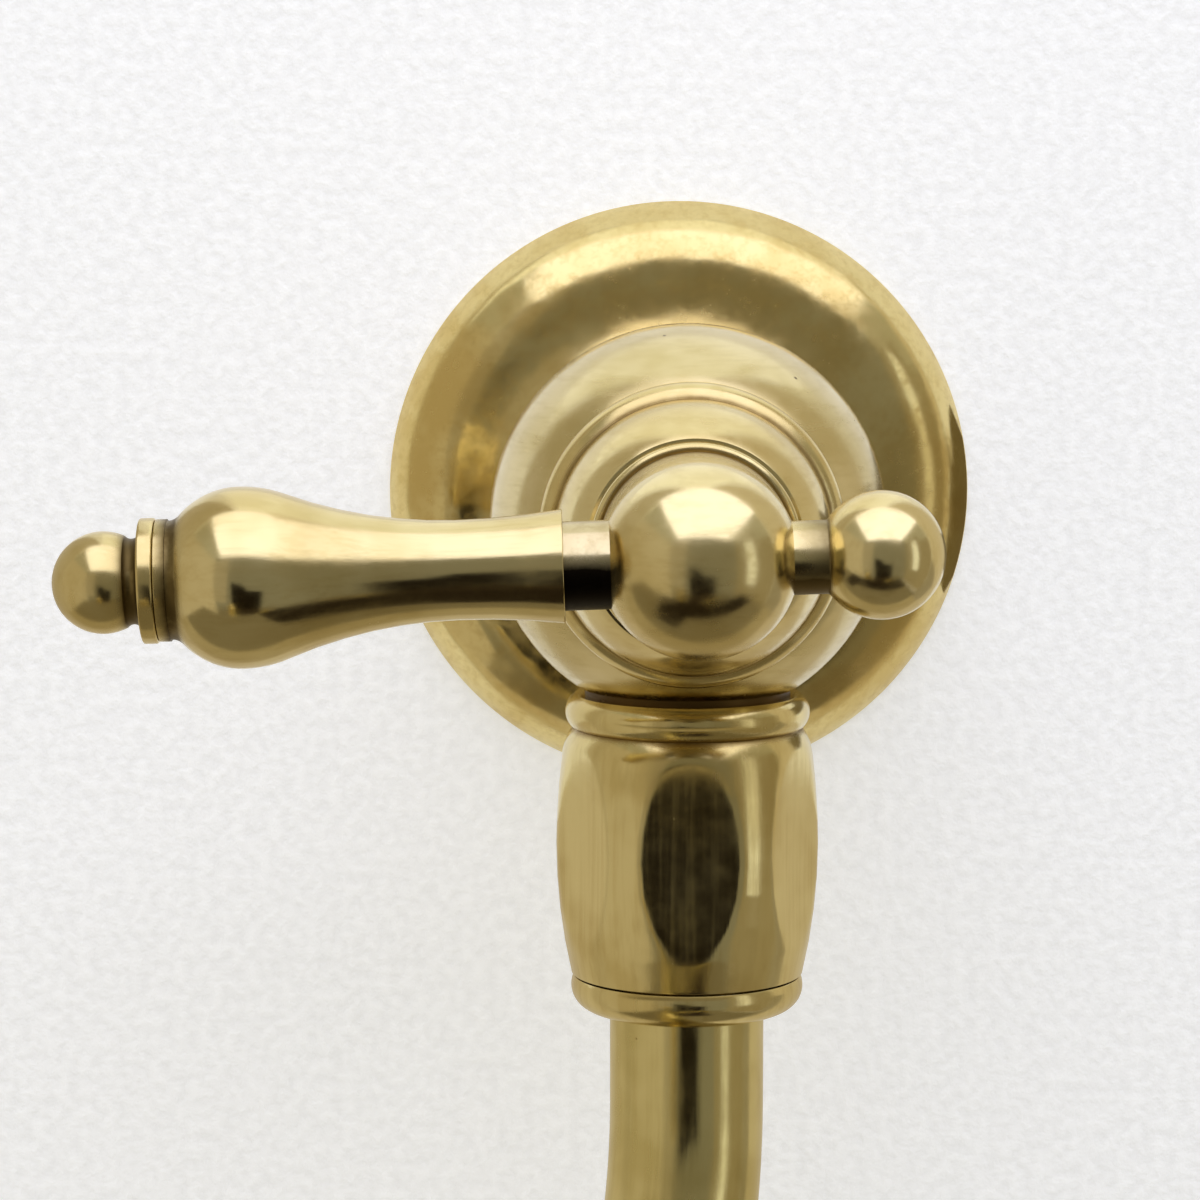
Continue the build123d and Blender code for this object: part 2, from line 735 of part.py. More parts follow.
# ---- arms
def bent_tube(*corners):
    """Round tube along straight runs that meet in bends of one radius."""
    path = FilletPolyline(*corners, radius=bend_r) if len(corners) > 2 else Line(*corners)
    start = Plane(origin=path @ 0, z_dir=path % 0)
    return sweep(start * (Circle(tube_r) - Circle(tube_bore_r)), path=path)


first_tube_end = first_arm_length - elbow_socket_floor - seat_fit
first_axis_height = -ball_seat - arm_drop
pieces["first_arm_tube"] = first_arm * bent_tube(
    (0, 0, -ball_seat - tube_start - seat_fit),
    (0, 0, first_axis_height),
    (0, -first_tube_end, first_axis_height),
)

# Elbow: a ball with a collar towards the first arm and the second swivel's boss below
elbow_entry = Rot(X=-90)
elbow_body = Sphere(elbow_r) + elbow_entry * rod(elbow_neck_r, 0, elbow_reach)
elbow_body += elbow_entry * rod(elbow_rim_r, elbow_reach - elbow_rim_width, elbow_reach)
elbow_down = Pos(0, 0, -elbow_seat) * Rot(X=180)
elbow_body -= elbow_down * rod(elbow_r, 0, elbow_r)
elbow_body += elbow_down * boss()
elbow_body -= elbow_entry * rod(tube_fit_r, elbow_socket_floor, elbow_reach)
elbow_body -= elbow_entry * rod(tube_bore_r, 0, elbow_socket_floor)
elbow_body -= elbow_down * boss_bores(elbow_seat)
pieces["ball_elbow"] = elbow * elbow_body

collar_land_end = elbow_reach + seat_fit + elbow_collar_land
collar_end_y = collar_land_end + elbow_rim_r - tube_fit_r
elbow_collar = turned(
    Polyline(
        (tube_fit_r, elbow_reach + seat_fit),
        (elbow_rim_r, elbow_reach + seat_fit),
        (elbow_rim_r, collar_land_end),
    ),
    TangentArc((elbow_rim_r, collar_land_end), (tube_fit_r, collar_end_y), tangent=(0, 1)),
    Line((tube_fit_r, collar_end_y), (tube_fit_r, elbow_reach + seat_fit)),
)
pieces["elbow_collar"] = elbow * elbow_entry * elbow_collar
place_swivel("elbow_", elbow_swivel_axis)

second_axis_height = -elbow_seat - arm_drop
pieces["second_arm_tube"] = second_arm * bent_tube(
    (0, 0, -elbow_seat - tube_start - seat_fit),
    (0, 0, second_axis_height),
    (0, -second_arm_length, second_axis_height),
    (0, -second_arm_length, second_axis_height - bend_r - spout_drop),
)


# ---- outlet: collar on the tube's end and the aerator in it, with drops below the tube's end
thread_start = seat_fit + spout_step
thread_end = thread_start + spout_thread_depth
collar_top = -spout_collar_lap
collar_land_top = collar_top + spout_collar_r - tube_fit_r
spout_thread_r = aerator_thread_r + thread_fit
spout_collar = turned(
    TangentArc((spout_collar_r, collar_land_top), (tube_fit_r, collar_top), tangent=(0, -1)),
    Polyline(
        (spout_collar_r, collar_land_top),
        (spout_collar_r, thread_end),
        (spout_thread_r, thread_end),
        (spout_thread_r, thread_start),
        (tube_bore_r, thread_start),
        (tube_bore_r, seat_fit),
        (tube_fit_r, seat_fit),
        (tube_fit_r, collar_top),
    ),
)
pieces["spout_collar"] = spout_axis * spout_collar

washer_start = thread_start + seat_fit
washer_end = washer_start + aerator_washer_height
aerator_washer = ring(aerator_thread_r, aerator_washer_inner_r, washer_start, washer_end)
pieces["aerator_washer"] = spout_axis * aerator_washer

screen_start = washer_end + seat_fit
screen_end = screen_start + screen_height
screen = rod(aerator_thread_r - seat_fit, screen_start, screen_end)
screen -= hole_field(aerator_lip_r, cell_pitch, cell_hole_r, screen_start, screen_end)
pieces["aerator_screen"] = spout_axis * screen

shell_start = screen_end + seat_fit
rim_start = thread_end + seat_fit
rim_end = rim_start + aerator_rim_height
shell = rod(aerator_thread_r, shell_start, rim_start) + rod(aerator_rim_r, rim_start, rim_end)
shell -= rod(aerator_bore_r, shell_start, rim_end - aerator_lip_height)
shell -= rod(aerator_lip_r, shell_start, rim_end)
pieces["aerator_shell"] = spout_axis * shell

insert_start = shell_start
insert_end = rim_end - aerator_lip_height - seat_fit
insert = rod(aerator_bore_r - running_fit, insert_start, insert_end)
insert -= hole_field(aerator_lip_r, cell_pitch, cell_hole_r, insert_start, insert_end)
pieces["aerator_insert"] = spout_axis * insert


for name, piece in pieces.items():
    export_step(piece, "parts/" + name + ".step")
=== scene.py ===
import json
import math

import bmesh
import bpy
from mathutils import Matrix, Vector


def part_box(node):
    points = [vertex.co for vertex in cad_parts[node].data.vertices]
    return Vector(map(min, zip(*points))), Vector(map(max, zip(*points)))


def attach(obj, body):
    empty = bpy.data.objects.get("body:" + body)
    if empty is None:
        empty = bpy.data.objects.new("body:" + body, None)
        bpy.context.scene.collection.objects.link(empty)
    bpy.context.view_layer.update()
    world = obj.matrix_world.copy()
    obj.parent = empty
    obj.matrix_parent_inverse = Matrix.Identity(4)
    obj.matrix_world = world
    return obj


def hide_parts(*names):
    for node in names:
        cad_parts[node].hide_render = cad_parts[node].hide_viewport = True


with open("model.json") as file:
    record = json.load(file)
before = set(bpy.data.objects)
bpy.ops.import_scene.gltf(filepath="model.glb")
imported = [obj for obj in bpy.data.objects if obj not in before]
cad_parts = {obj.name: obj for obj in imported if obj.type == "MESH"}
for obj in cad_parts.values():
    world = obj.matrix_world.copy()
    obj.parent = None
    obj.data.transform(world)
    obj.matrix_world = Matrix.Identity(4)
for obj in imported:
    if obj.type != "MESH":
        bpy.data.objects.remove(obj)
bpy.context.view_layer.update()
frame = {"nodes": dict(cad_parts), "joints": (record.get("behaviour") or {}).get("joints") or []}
mm = 0.001


# ---- the view
# A long lens half a metre out from the wall, a little above the valve and to its left, looking
# slightly down. The arms leave the picture at its lower edge.
camera_place = Vector((-15.4, -550.0, 51.6)) * mm
camera_down = math.radians(6.86)
camera_right = math.radians(0.525)
camera = bpy.data.objects.new("camera", bpy.data.cameras.new("camera"))
camera.data.lens = 125.7
camera.data.sensor_width = 36.0
camera.data.clip_start = 10 * mm
camera.location = camera_place
camera.rotation_euler = (math.radians(90) - camera_down, 0, -camera_right)
bpy.context.scene.collection.objects.link(camera)
bpy.context.scene.camera = camera
bpy.context.scene.view_settings.view_transform = "Standard"


# ---- the room's light
# Soft light all round, a lit panel overhead, and plain cards in front, below and at the sides,
# which polished metal shows as pale and dark bands. The camera sees none of them, and the small
# flags and shades near the valve are there for its reflections alone.
def add(tree, kind, inputs=(), **settings):
    """A new shader node with its settings, and its inputs set or linked."""
    made = tree.nodes.new(kind)
    for key, value in settings.items():
        setattr(made, key, value)
    for socket, value in dict(inputs).items():
        if isinstance(value, bpy.types.NodeSocket):
            tree.links.new(value, made.inputs[socket])
        else:
            made.inputs[socket].default_value = value
    return made


def empty_material(name):
    """A material with only its output node: the material, its tree and the output."""
    made = bpy.data.materials.new(name)
    made.use_nodes = True
    made.node_tree.nodes.clear()
    return made, made.node_tree, made.node_tree.nodes.new("ShaderNodeOutputMaterial")


def stage_mesh(name, corners, finish):
    """A flat card or ground with its corners in order."""
    mesh = bpy.data.meshes.new(name)
    mesh.from_pydata(corners, [], [range(len(corners))])
    mesh.materials.append(finish)
    made = bpy.data.objects.new(name, mesh)
    bpy.context.scene.collection.objects.link(made)
    return made


def card(name, tint, strength, corners, only_in_metal=False):
    """A plain glowing card that the camera doesn't see; with little strength it is a dark one.
    Only in metal, it neither lights nor shades the wall."""
    finish, tree, output = empty_material(name)
    glow = add(tree, "ShaderNodeEmission", {"Color": (*tint, 1), "Strength": strength})
    tree.links.new(glow.outputs[0], output.inputs["Surface"])
    made = stage_mesh(name, corners, finish)
    made.visible_camera = False
    made.visible_diffuse = not only_in_metal
    made.visible_shadow = not only_in_metal


def upright(out, left, right, low, high):
    """The corners of a card parallel to the wall, so far out from it."""
    return [(left, -out, low), (right, -out, low), (right, -out, high), (left, -out, high)]


def lying(height, left, right, far, near):
    """The corners of a level card between two distances from the wall."""
    return [
        (left, -far, height), (right, -far, height), (right, -near, height), (left, -near, height),
    ]


daylight = (0.82, 0.82, 1.00)
sky = (0.96, 0.98, 1.00)
cream = (1.00, 0.90, 0.71)
olive = (1.00, 0.96, 0.80)
olive_brown = (1.00, 0.86, 0.58)
brown = (1.00, 0.70, 0.42)
amber = (1.00, 0.80, 0.42)
card_foot = -0.80
ceiling = 0.45
flag_out = 0.012
shade_height = -0.032
dark_shade_height = -0.031
right_shade_out = 0.0014

room = bpy.data.worlds.new("room")
room.use_nodes = True
background = room.node_tree.nodes["Background"].inputs
background["Color"].default_value = (*olive, 1)
background["Strength"].default_value = 0.45
bpy.context.scene.world = room

card("overhead_panel", daylight, 2.1, [
    (-0.40, -0.78, ceiling), (0.50, -0.78, ceiling),
    (0.50, -0.02, ceiling), (-0.30, -0.02, ceiling),
])
card("front_card", olive, 0.25, upright(0.90, -0.60, 0.72, -1.20, 0.53))
card("front_left_card", cream, 0.40, [
    (-0.60, -0.88, -0.40), (-0.30, -0.88, -0.40), (-0.22, -0.88, 0.45), (-0.60, -0.88, 0.45),
])
card("dark_card", brown, 0.010, [
    (-0.16, -0.75, card_foot), (0.22, -0.75, card_foot), (0.20, -0.75, -0.14), (0.03, -0.75, -0.12),
    (-0.02, -0.75, -0.04), (-0.16, -0.75, 0.00),
])
card("lower_card", olive_brown, 0.20, lying(-0.45, -0.40, 0.40, 0.75, 0.02))
card("lower_dark_card", brown, 0.03, [
    (-0.18, -0.75, -0.44), (0.18, -0.75, -0.44), (0.16, -0.33, -0.44), (-0.13, -0.33, -0.44),
])
card("left_card", cream, 0.56, [
    (-0.60, -0.90, card_foot), (-0.75, -0.02, card_foot),
    (-0.75, -0.02, 0.55), (-0.60, -0.90, 0.45),
])
card("right_card", olive_brown, 0.32, [
    (0.72, -0.90, card_foot), (0.76, -0.33, card_foot), (0.76, -0.33, 0.45), (0.72, -0.90, 0.45),
])
card("right_strip", sky, 1.05, [
    (0.66, -0.56, -0.27), (0.69, -0.39, -0.27), (0.69, -0.39, 0.34), (0.66, -0.56, 0.34),
])
card("right_dark_card", olive_brown, 0.34, [
    (0.76, -0.33, card_foot), (0.80, -0.02, card_foot), (0.80, -0.02, 0.30), (0.76, -0.33, 0.30),
])
for name, tint, strength, corners in (
    ("left_flag", cream, 0.52, upright(flag_out, -0.80, -0.096, card_foot, 0.60)),
    ("right_flag", cream, 0.66, upright(flag_out, 0.076, 0.80, card_foot, 0.60)),
    ("right_lower_flag", cream, 0.34, upright(0.013, 0.12, 0.80, card_foot, -0.065)),
    ("lower_flag", cream, 0.60, upright(flag_out, -0.12, 0.12, card_foot, -0.042)),
    ("lever_shade", olive_brown, 0.22, lying(shade_height, -0.10, 0.045, 0.125, 0.088)),
    ("lever_back_shade", olive_brown, 0.42, lying(shade_height, -0.10, 0.045, 0.088, 0.072)),
    ("lever_dark_shade", brown, 0.02, [(across, along, dark_shade_height) for across, along in (
        (-0.038, -0.125), (0.045, -0.125), (0.045, -0.108), (-0.008, -0.108),
        (-0.012, -0.097), (-0.027, -0.097), (-0.031, -0.106),
    )]),
    ("upper_flag", sky, 1.25, upright(flag_out, -0.075, 0.060, 0.052, 0.45)),
    ("right_shade", amber, 0.17, [(across, -right_shade_out, up) for across, up in (
        (0.036, -0.014), (0.14, -0.03), (0.14, 0.03), (0.060, 0.004), (0.0375, 0.012),
    )]),
):
    card(name, tint, strength, corners, only_in_metal=True)


# ---- wall and floor
# Painted white plaster with the faint relief of a roller, and a plain pale floor below. Both are
# seen from the room side only, so that views from behind show the flange's back.
def math_node(tree, operation, a, b):
    """The result of one sum."""
    return add(tree, "ShaderNodeMath", {0: a, 1: b}, operation=operation).outputs[0]


def noise(tree, place, scale, detail, roughness=0.5):
    """Soft grey clouds between 0 and 1; a higher scale makes them finer."""
    return add(tree, "ShaderNodeTexNoise", {
        "Vector": place, "Scale": scale, "Detail": detail, "Roughness": roughness,
    }).outputs["Fac"]


def relief(tree, height, depth):
    """The way the surface faces over a relief of a given depth."""
    return add(tree, "ShaderNodeBump", {
        "Height": height, "Distance": depth, "Strength": 1.0,
    }).outputs["Normal"]


def matt_ground(name, tint, glow_level, relief_size, relief_depth):
    """Matt white with a faint relief. It is see-through from behind."""
    finish, tree, output = empty_material(name)
    here = add(tree, "ShaderNodeTexCoord").outputs["Object"]
    bumps = noise(tree, here, 1 / relief_size, 4.0, 0.55)
    faint = add(tree, "ShaderNodeMapRange", {
        "Value": bumps, "From Min": 0.38, "From Max": 0.62, "To Min": 0.95, "To Max": 1.03,
    }).outputs["Result"]
    colour = add(tree, "ShaderNodeVectorMath", {0: tint, 1: faint}, operation="MULTIPLY").outputs[0]
    paint = add(tree, "ShaderNodeBsdfDiffuse", {
        "Color": colour, "Normal": relief(tree, bumps, relief_depth),
    })
    ray = add(tree, "ShaderNodeLightPath").outputs
    seen = math_node(tree, "MAXIMUM", ray["Is Camera Ray"], ray["Is Glossy Ray"])
    seen = math_node(tree, "MAXIMUM", seen, ray["Is Transmission Ray"])
    glow = add(tree, "ShaderNodeEmission", {
        "Color": colour, "Strength": math_node(tree, "MULTIPLY", seen, glow_level),
    })
    front = add(tree, "ShaderNodeAddShader", {0: paint.outputs[0], 1: glow.outputs[0]})
    clear = add(tree, "ShaderNodeBsdfTransparent")
    side = add(tree, "ShaderNodeNewGeometry")
    both = add(tree, "ShaderNodeMixShader", {
        0: side.outputs["Backfacing"], 1: front.outputs[0], 2: clear.outputs[0],
    })
    tree.links.new(both.outputs[0], output.inputs["Surface"])
    return finish


wall_side = 1.1
floor_drop = 0.75
floor_depth = 1.5
plaster = matt_ground("white_plaster", (0.715, 0.725, 0.72), 0.71, 1.6 * mm, 0.3 * mm)
stage_mesh("wall", [
    (-wall_side, 0, -floor_drop), (wall_side, 0, -floor_drop),
    (wall_side, 0, wall_side), (-wall_side, 0, wall_side),
], plaster)
pale_floor = matt_ground("pale_floor", (0.80, 0.79, 0.77), 0.10, 6.0 * mm, 0.05 * mm)
stage_mesh("floor", [
    (-wall_side, -floor_depth, -floor_drop), (wall_side, -floor_depth, -floor_drop),
    (wall_side, 0, -floor_drop), (-wall_side, 0, -floor_drop),
], pale_floor)


# ---- wall flange
# Spun from sheet brass: a rounded rim runs through a hollow curve into a short collar. A small
# set screw under the collar holds it on the valve's neck, over a rubber seal on the wall.
flange_low, flange_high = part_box("wall_flange")
flange_r = flange_high.x
flange_collar_end = -flange_low.y
flange_lip = 1.2 * mm
flange_crest_r = 27.8 * mm
flange_crest = 7.9 * mm
flange_collar_r = 15.5 * mm
flange_collar_start = 13.5 * mm
flange_skin = 1.6 * mm
flange_edge = 0.3 * mm
neck_r = 13.0 * mm
flange_screw_r = 1.55 * mm
arc_step = math.radians(4)
sharp_corner = math.radians(32)


def arc(start, end, leaving):
    """Points of the arc that leaves start in a given direction and ends at end."""
    start, end = Vector(start), Vector(end)
    ahead = Vector(leaving).normalized()
    aside = Vector((-ahead.y, ahead.x))
    chord = end - start
    radius = chord.length_squared / (2 * chord.dot(aside))
    centre = start + aside * radius
    first, last = start - centre, end - centre
    turn = math.atan2(last.y, last.x) - math.atan2(first.y, first.x)
    turn = turn % math.tau if radius > 0 else -(-turn % math.tau)
    steps = max(3, math.ceil(abs(turn) / arc_step))
    points = []
    for step in range(steps + 1):
        points.append(centre + Matrix.Rotation(turn * step / steps, 2) @ first)
    return [tuple(point) for point in points]


def bow(start, middle, end):
    """Points of the arc through three points."""
    a, b, c = Vector(start), Vector(middle), Vector(end)
    chord, side = c - a, b - a
    cross = 2 * (side.x * chord.y - side.y * chord.x)
    to_centre = Vector((
        (chord.y * side.length_squared - side.y * chord.length_squared) / cross,
        (side.x * chord.length_squared - chord.x * side.length_squared) / cross,
    ))
    leaving = Vector((to_centre.y, -to_centre.x))
    if leaving.dot(side) < 0:
        leaving = -leaving
    return arc(start, end, leaving)


def eased(outline, radius, closed=True):
    """The outline with its sharp corners rounded as a buffing wheel leaves them."""
    slight_turn, round_step = math.radians(18), math.radians(14)
    same_place = 1e-7
    most_cut = 0.45
    points = [Vector(point) for point in outline]
    kept = []
    for point in points:
        if not kept or (point - kept[-1]).length > same_place:
            kept.append(point)
    if closed and (kept[0] - kept[-1]).length < same_place:
        kept.pop()
    result = []
    for number, point in enumerate(kept):
        if not closed and number in (0, len(kept) - 1):
            result.append(tuple(point))
            continue
        back = kept[number - 1] - point
        ahead = kept[(number + 1) % len(kept)] - point
        turn = math.pi - back.angle(ahead)
        if turn < slight_turn:
            result.append(tuple(point))
            continue
        cut = min(radius * math.tan(turn / 2), most_cut * back.length, most_cut * ahead.length)
        begin = point + back.normalized() * cut
        finish = point + ahead.normalized() * cut
        steps = max(3, math.ceil(turn / round_step))
        for step in range(steps + 1):
            share = step / steps
            bent = begin.lerp(point, share).lerp(point.lerp(finish, share), share)
            result.append(tuple(bent))
    return result


def recesses(outline, closed, spread):
    """How deep in a hollow corner each point of an outline lies, from 0 to 1."""
    count = len(outline)
    points = [Vector(point) for point in outline]
    area = 0.0
    for number in range(count):
        a, b = points[number], points[(number + 1) % count]
        area += a.x * b.y - b.x * a.y
    turns, along = [], [0.0]
    for number in range(count):
        if number:
            along.append(along[-1] + (points[number] - points[number - 1]).length)
        if not closed and number in (0, count - 1):
            turns.append(0.0)
            continue
        back = points[number] - points[number - 1]
        ahead = points[(number + 1) % count] - points[number]
        bend = math.atan2(back.x * ahead.y - back.y * ahead.x, back.dot(ahead))
        turns.append(max(0.0, -bend if area > 0 else bend))
    depth = []
    for place in along:
        total = 0.0
        for other, turn in zip(along, turns):
            if turn > 0:
                total += turn * math.exp(-((other - place) / spread) ** 2)
        depth.append(min(1.0, total))
    return depth


def outward(name, vertices, faces):
    """A mesh whose faces all look out of its body."""
    mesh = bpy.data.meshes.new(name)
    mesh.from_pydata(vertices, [], faces)
    work = bmesh.new()
    work.from_mesh(mesh)
    bmesh.ops.recalc_face_normals(work, faces=work.faces)
    work.to_mesh(mesh)
    work.free()
    return mesh


def turned(outline, segments=256, shape=None, spread=0.4 * mm, painted_shade=0.0):
    """A mesh turned about Z from (radius, height) points: a closed loop, or a line that starts
    and ends on the axis. shape may change the radius at an angle; spread is how far tarnish
    reaches out of the hollow corners, painted_shade how much painted shade lies everywhere."""
    on_axis = 1e-7
    closed = not (outline[0][0] < on_axis and outline[-1][0] < on_axis)
    depth = [max(painted_shade, hollow) for hollow in recesses(outline, closed, spread)]
    rings, vertices, tarnish_and_shade, faces = [], [], [], []
    for (radius, height), hollow in zip(outline, depth):
        count = 1 if radius < on_axis else segments
        rings.append(range(len(vertices), len(vertices) + count))
        for step in range(count):
            angle = math.tau * step / segments
            r = shape(radius, height, angle) if shape else radius
            vertices.append((r * math.cos(angle), r * math.sin(angle), height))
            tarnish_and_shade.append(hollow)
    pairs = list(zip(rings, rings[1:])) + ([(rings[-1], rings[0])] if closed else [])
    for one, two in pairs:
        for step in range(segments):
            after = (step + 1) % segments
            if len(one) == 1:
                faces.append((one[0], two[after], two[step]))
            elif len(two) == 1:
                faces.append((one[step], one[after], two[0]))
            else:
                faces.append((one[step], one[after], two[after], two[step]))
    mesh = outward("turned", vertices, faces)
    mesh.attributes.new("tarnish_and_shade", "FLOAT", "POINT").data.foreach_set("value", tarnish_and_shade)
    return mesh


def drilled(mesh, cutter):
    """The mesh with another one cut out of it."""
    work, drill = bpy.data.objects.new("work", mesh), bpy.data.objects.new("drill", cutter)
    for made in (work, drill):
        bpy.context.scene.collection.objects.link(made)
    cut = work.modifiers.new("cut", "BOOLEAN")
    cut.operation = "DIFFERENCE"
    cut.solver = "EXACT"
    cut.object = drill
    seen = work.evaluated_get(bpy.context.evaluated_depsgraph_get())
    result = bpy.data.meshes.new_from_object(seen)
    for made in (work, drill):
        bpy.data.objects.remove(made)
    return result


def rod(radius, start, end, place=Matrix.Identity(4), segments=48, painted_shade=0.0):
    """A plain round bar, for a stud or for drilling."""
    mesh = turned([(0, start), (radius, start), (radius, end), (0, end)], segments, painted_shade=painted_shade)
    mesh.transform(place)
    return mesh


def joined(*meshes):
    """Several meshes as one."""
    whole = bmesh.new()
    for mesh in meshes:
        whole.from_mesh(mesh)
    result = bpy.data.meshes.new("joined")
    whole.to_mesh(result)
    whole.free()
    return result


def fit(name, mesh, place, body, finish, node):
    """Put a finished piece on its body, where it stands for its construction solid."""
    made = bpy.data.objects.new(name, mesh)
    bpy.context.scene.collection.objects.link(made)
    mesh.materials.clear()
    mesh.materials.append(finish)
    mesh.shade_smooth()
    mesh.set_sharp_from_angle(angle=sharp_corner)
    made.matrix_world = place
    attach(made, body)
    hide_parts(node)


def group(name, inputs, outputs):
    """A new shader node group: its tree, what it is given and what it gives back."""
    tree = bpy.data.node_groups.new(name, "ShaderNodeTree")
    for socket, kind, value in inputs:
        made = tree.interface.new_socket(socket, in_out="INPUT", socket_type=kind)
        made.default_value = value
    for socket, kind in outputs:
        tree.interface.new_socket(socket, in_out="OUTPUT", socket_type=kind)
    return (tree, tree.nodes.new("NodeGroupInput").outputs,
            tree.nodes.new("NodeGroupOutput").inputs)


def times(tree, a, b):
    """The product of two values."""
    return math_node(tree, "MULTIPLY", a, b)


def plus(tree, *values):
    """The sum of some values."""
    total = values[0]
    for value in values[1:]:
        total = math_node(tree, "ADD", total, value)
    return total


def ramp_between(tree, value, low, high):
    """0 up to low, 1 from high on, smooth between."""
    made = add(tree, "ShaderNodeMapRange", {
        "Value": value, "From Min": low, "From Max": high, "To Min": 0.0, "To Max": 1.0,
    }, interpolation_type="SMOOTHSTEP")
    return made.outputs["Result"]


def mixed(tree, share, a, b):
    """One colour turning into another."""
    made = add(tree, "ShaderNodeMix", data_type="RGBA")
    for socket, value in ((made.inputs[0], share), (made.inputs[6], a), (made.inputs[7], b)):
        if isinstance(value, bpy.types.NodeSocket):
            tree.links.new(value, socket)
        else:
            socket.default_value = value
    return made.outputs[2]


# Bare brass: clouds of paler and deeper metal, brown tarnish in the hollows, painted shade where a
# piece's tarnish_and_shade attribute marks it, wiping marks, turning lines and a few dark pits
bare_metal, given, result = group("bare_metal_wear", [
    ("Pale", "NodeSocketColor", (0.75, 0.63, 0.32, 1)),
    ("Deep", "NodeSocketColor", (0.63, 0.50, 0.215, 1)),
    ("Tarnish", "NodeSocketColor", (0.24, 0.15, 0.045, 1)),
    ("Tarnish amount", "NodeSocketFloat", 0.6),
    ("Gloss", "NodeSocketFloat", 0.12),
    ("Haze", "NodeSocketFloat", 0.10),
    ("Mark stretch", "NodeSocketVector", (1, 1, 0.05)),
    ("Mark depth", "NodeSocketFloat", 1.0),
    ("Wave depth", "NodeSocketFloat", 20.0),
    ("Line depth", "NodeSocketFloat", 0.3),
    ("Pits", "NodeSocketFloat", 0.5),
], [
    ("Colour", "NodeSocketColor"),
    ("Roughness", "NodeSocketFloat"),
    ("Height", "NodeSocketFloat"),
])
tree = bare_metal
depth_unit = 0.0009 * mm
lathe_slant = 0.8
stroke_deepening = 0.4
stroke_haze = 0.07
tarnish_haze = 0.22
pit_depth = 12.0
here = add(tree, "ShaderNodeTexCoord").outputs["Object"]
clouds = noise(tree, here, 55.0, 3.0, 0.6)
smears = noise(tree, here, 260.0, 4.0, 0.65)
waves = noise(tree, here, 190.0, 1.0)
stretched = add(tree, "ShaderNodeVectorMath", {
    0: here, 1: given["Mark stretch"],
}, operation="MULTIPLY").outputs[0]
marks = noise(tree, stretched, 2600.0, 5.0, 0.7)
strokes = ramp_between(tree, noise(tree, stretched, 800.0, 4.0, 0.65), 0.42, 0.70)
along = add(tree, "ShaderNodeSeparateXYZ", {0: here}).outputs["Z"]
across = add(tree, "ShaderNodeVectorMath", {0: here, 1: (1, 1, 0)}, operation="MULTIPLY").outputs[0]
out_r = add(tree, "ShaderNodeVectorMath", {0: across}, operation="LENGTH").outputs["Value"]
lines = add(tree, "ShaderNodeTexNoise", {
    "W": plus(tree, times(tree, out_r, lathe_slant), along), "Scale": 5200.0, "Detail": 2.0,
}, noise_dimensions="1D").outputs["Fac"]
pit_cells = add(tree, "ShaderNodeTexVoronoi", {
    "Vector": here, "Scale": 150.0, "Randomness": 1.0,
}, feature="F1")
pit_dots = ramp_between(tree, pit_cells.outputs["Distance"], 0.045, 0.02)
pit_pick = ramp_between(tree, noise(tree, here, 120.0, 0.0), 0.60, 0.66)
pits = times(tree, times(tree, pit_dots, pit_pick), given["Pits"])
# The tarnish_and_shade attribute holds tarnish in hollow corners and painted shade on the lever
# stud, the hub finial's neck and the flat and boss under each ball; both take the Tarnish colour.
hollow = add(tree, "ShaderNodeAttribute", attribute_name="tarnish_and_shade").outputs["Fac"]
stained_and_shaded = times(tree, times(tree, hollow, plus(tree, smears, 0.5)), given["Tarnish amount"])
stained_and_shaded = math_node(tree, "MINIMUM", plus(tree, stained_and_shaded, pits), 1.0)
deeper = plus(tree, ramp_between(tree, clouds, 0.38, 0.64), times(tree, strokes, stroke_deepening))
metal = mixed(tree, math_node(tree, "MINIMUM", deeper, 1.0), given["Pale"], given["Deep"])
tree.links.new(mixed(tree, stained_and_shaded, metal, given["Tarnish"]), result["Colour"])
hazy = ramp_between(tree, times(tree, plus(tree, smears, clouds), 0.5), 0.36, 0.66)
rough = plus(tree, given["Gloss"], times(tree, given["Haze"], hazy),
             times(tree, strokes, stroke_haze), times(tree, stained_and_shaded, tarnish_haze))
tree.links.new(rough, result["Roughness"])
height = plus(tree, times(tree, marks, given["Mark depth"]),
              times(tree, waves, given["Wave depth"]), times(tree, lines, given["Line depth"]))
height = math_node(tree, "SUBTRACT", height, times(tree, pits, pit_depth))
tree.links.new(height, result["Height"])


def brass(name, **values):
    """A bare brass finish with its own values for the wear."""
    finish, tree, output = empty_material(name)
    wear = add(tree, "ShaderNodeGroup", node_tree=bare_metal)
    for socket, value in values.items():
        wear.inputs[socket.replace("_", " ").capitalize()].default_value = value
    metal = add(tree, "ShaderNodeBsdfPrincipled", {
        "Base Color": wear.outputs["Colour"], "Metallic": 1.0,
        "Roughness": wear.outputs["Roughness"],
        "Normal": relief(tree, wear.outputs["Height"], depth_unit),
    })
    tree.links.new(metal.outputs[0], output.inputs["Surface"])
    return finish


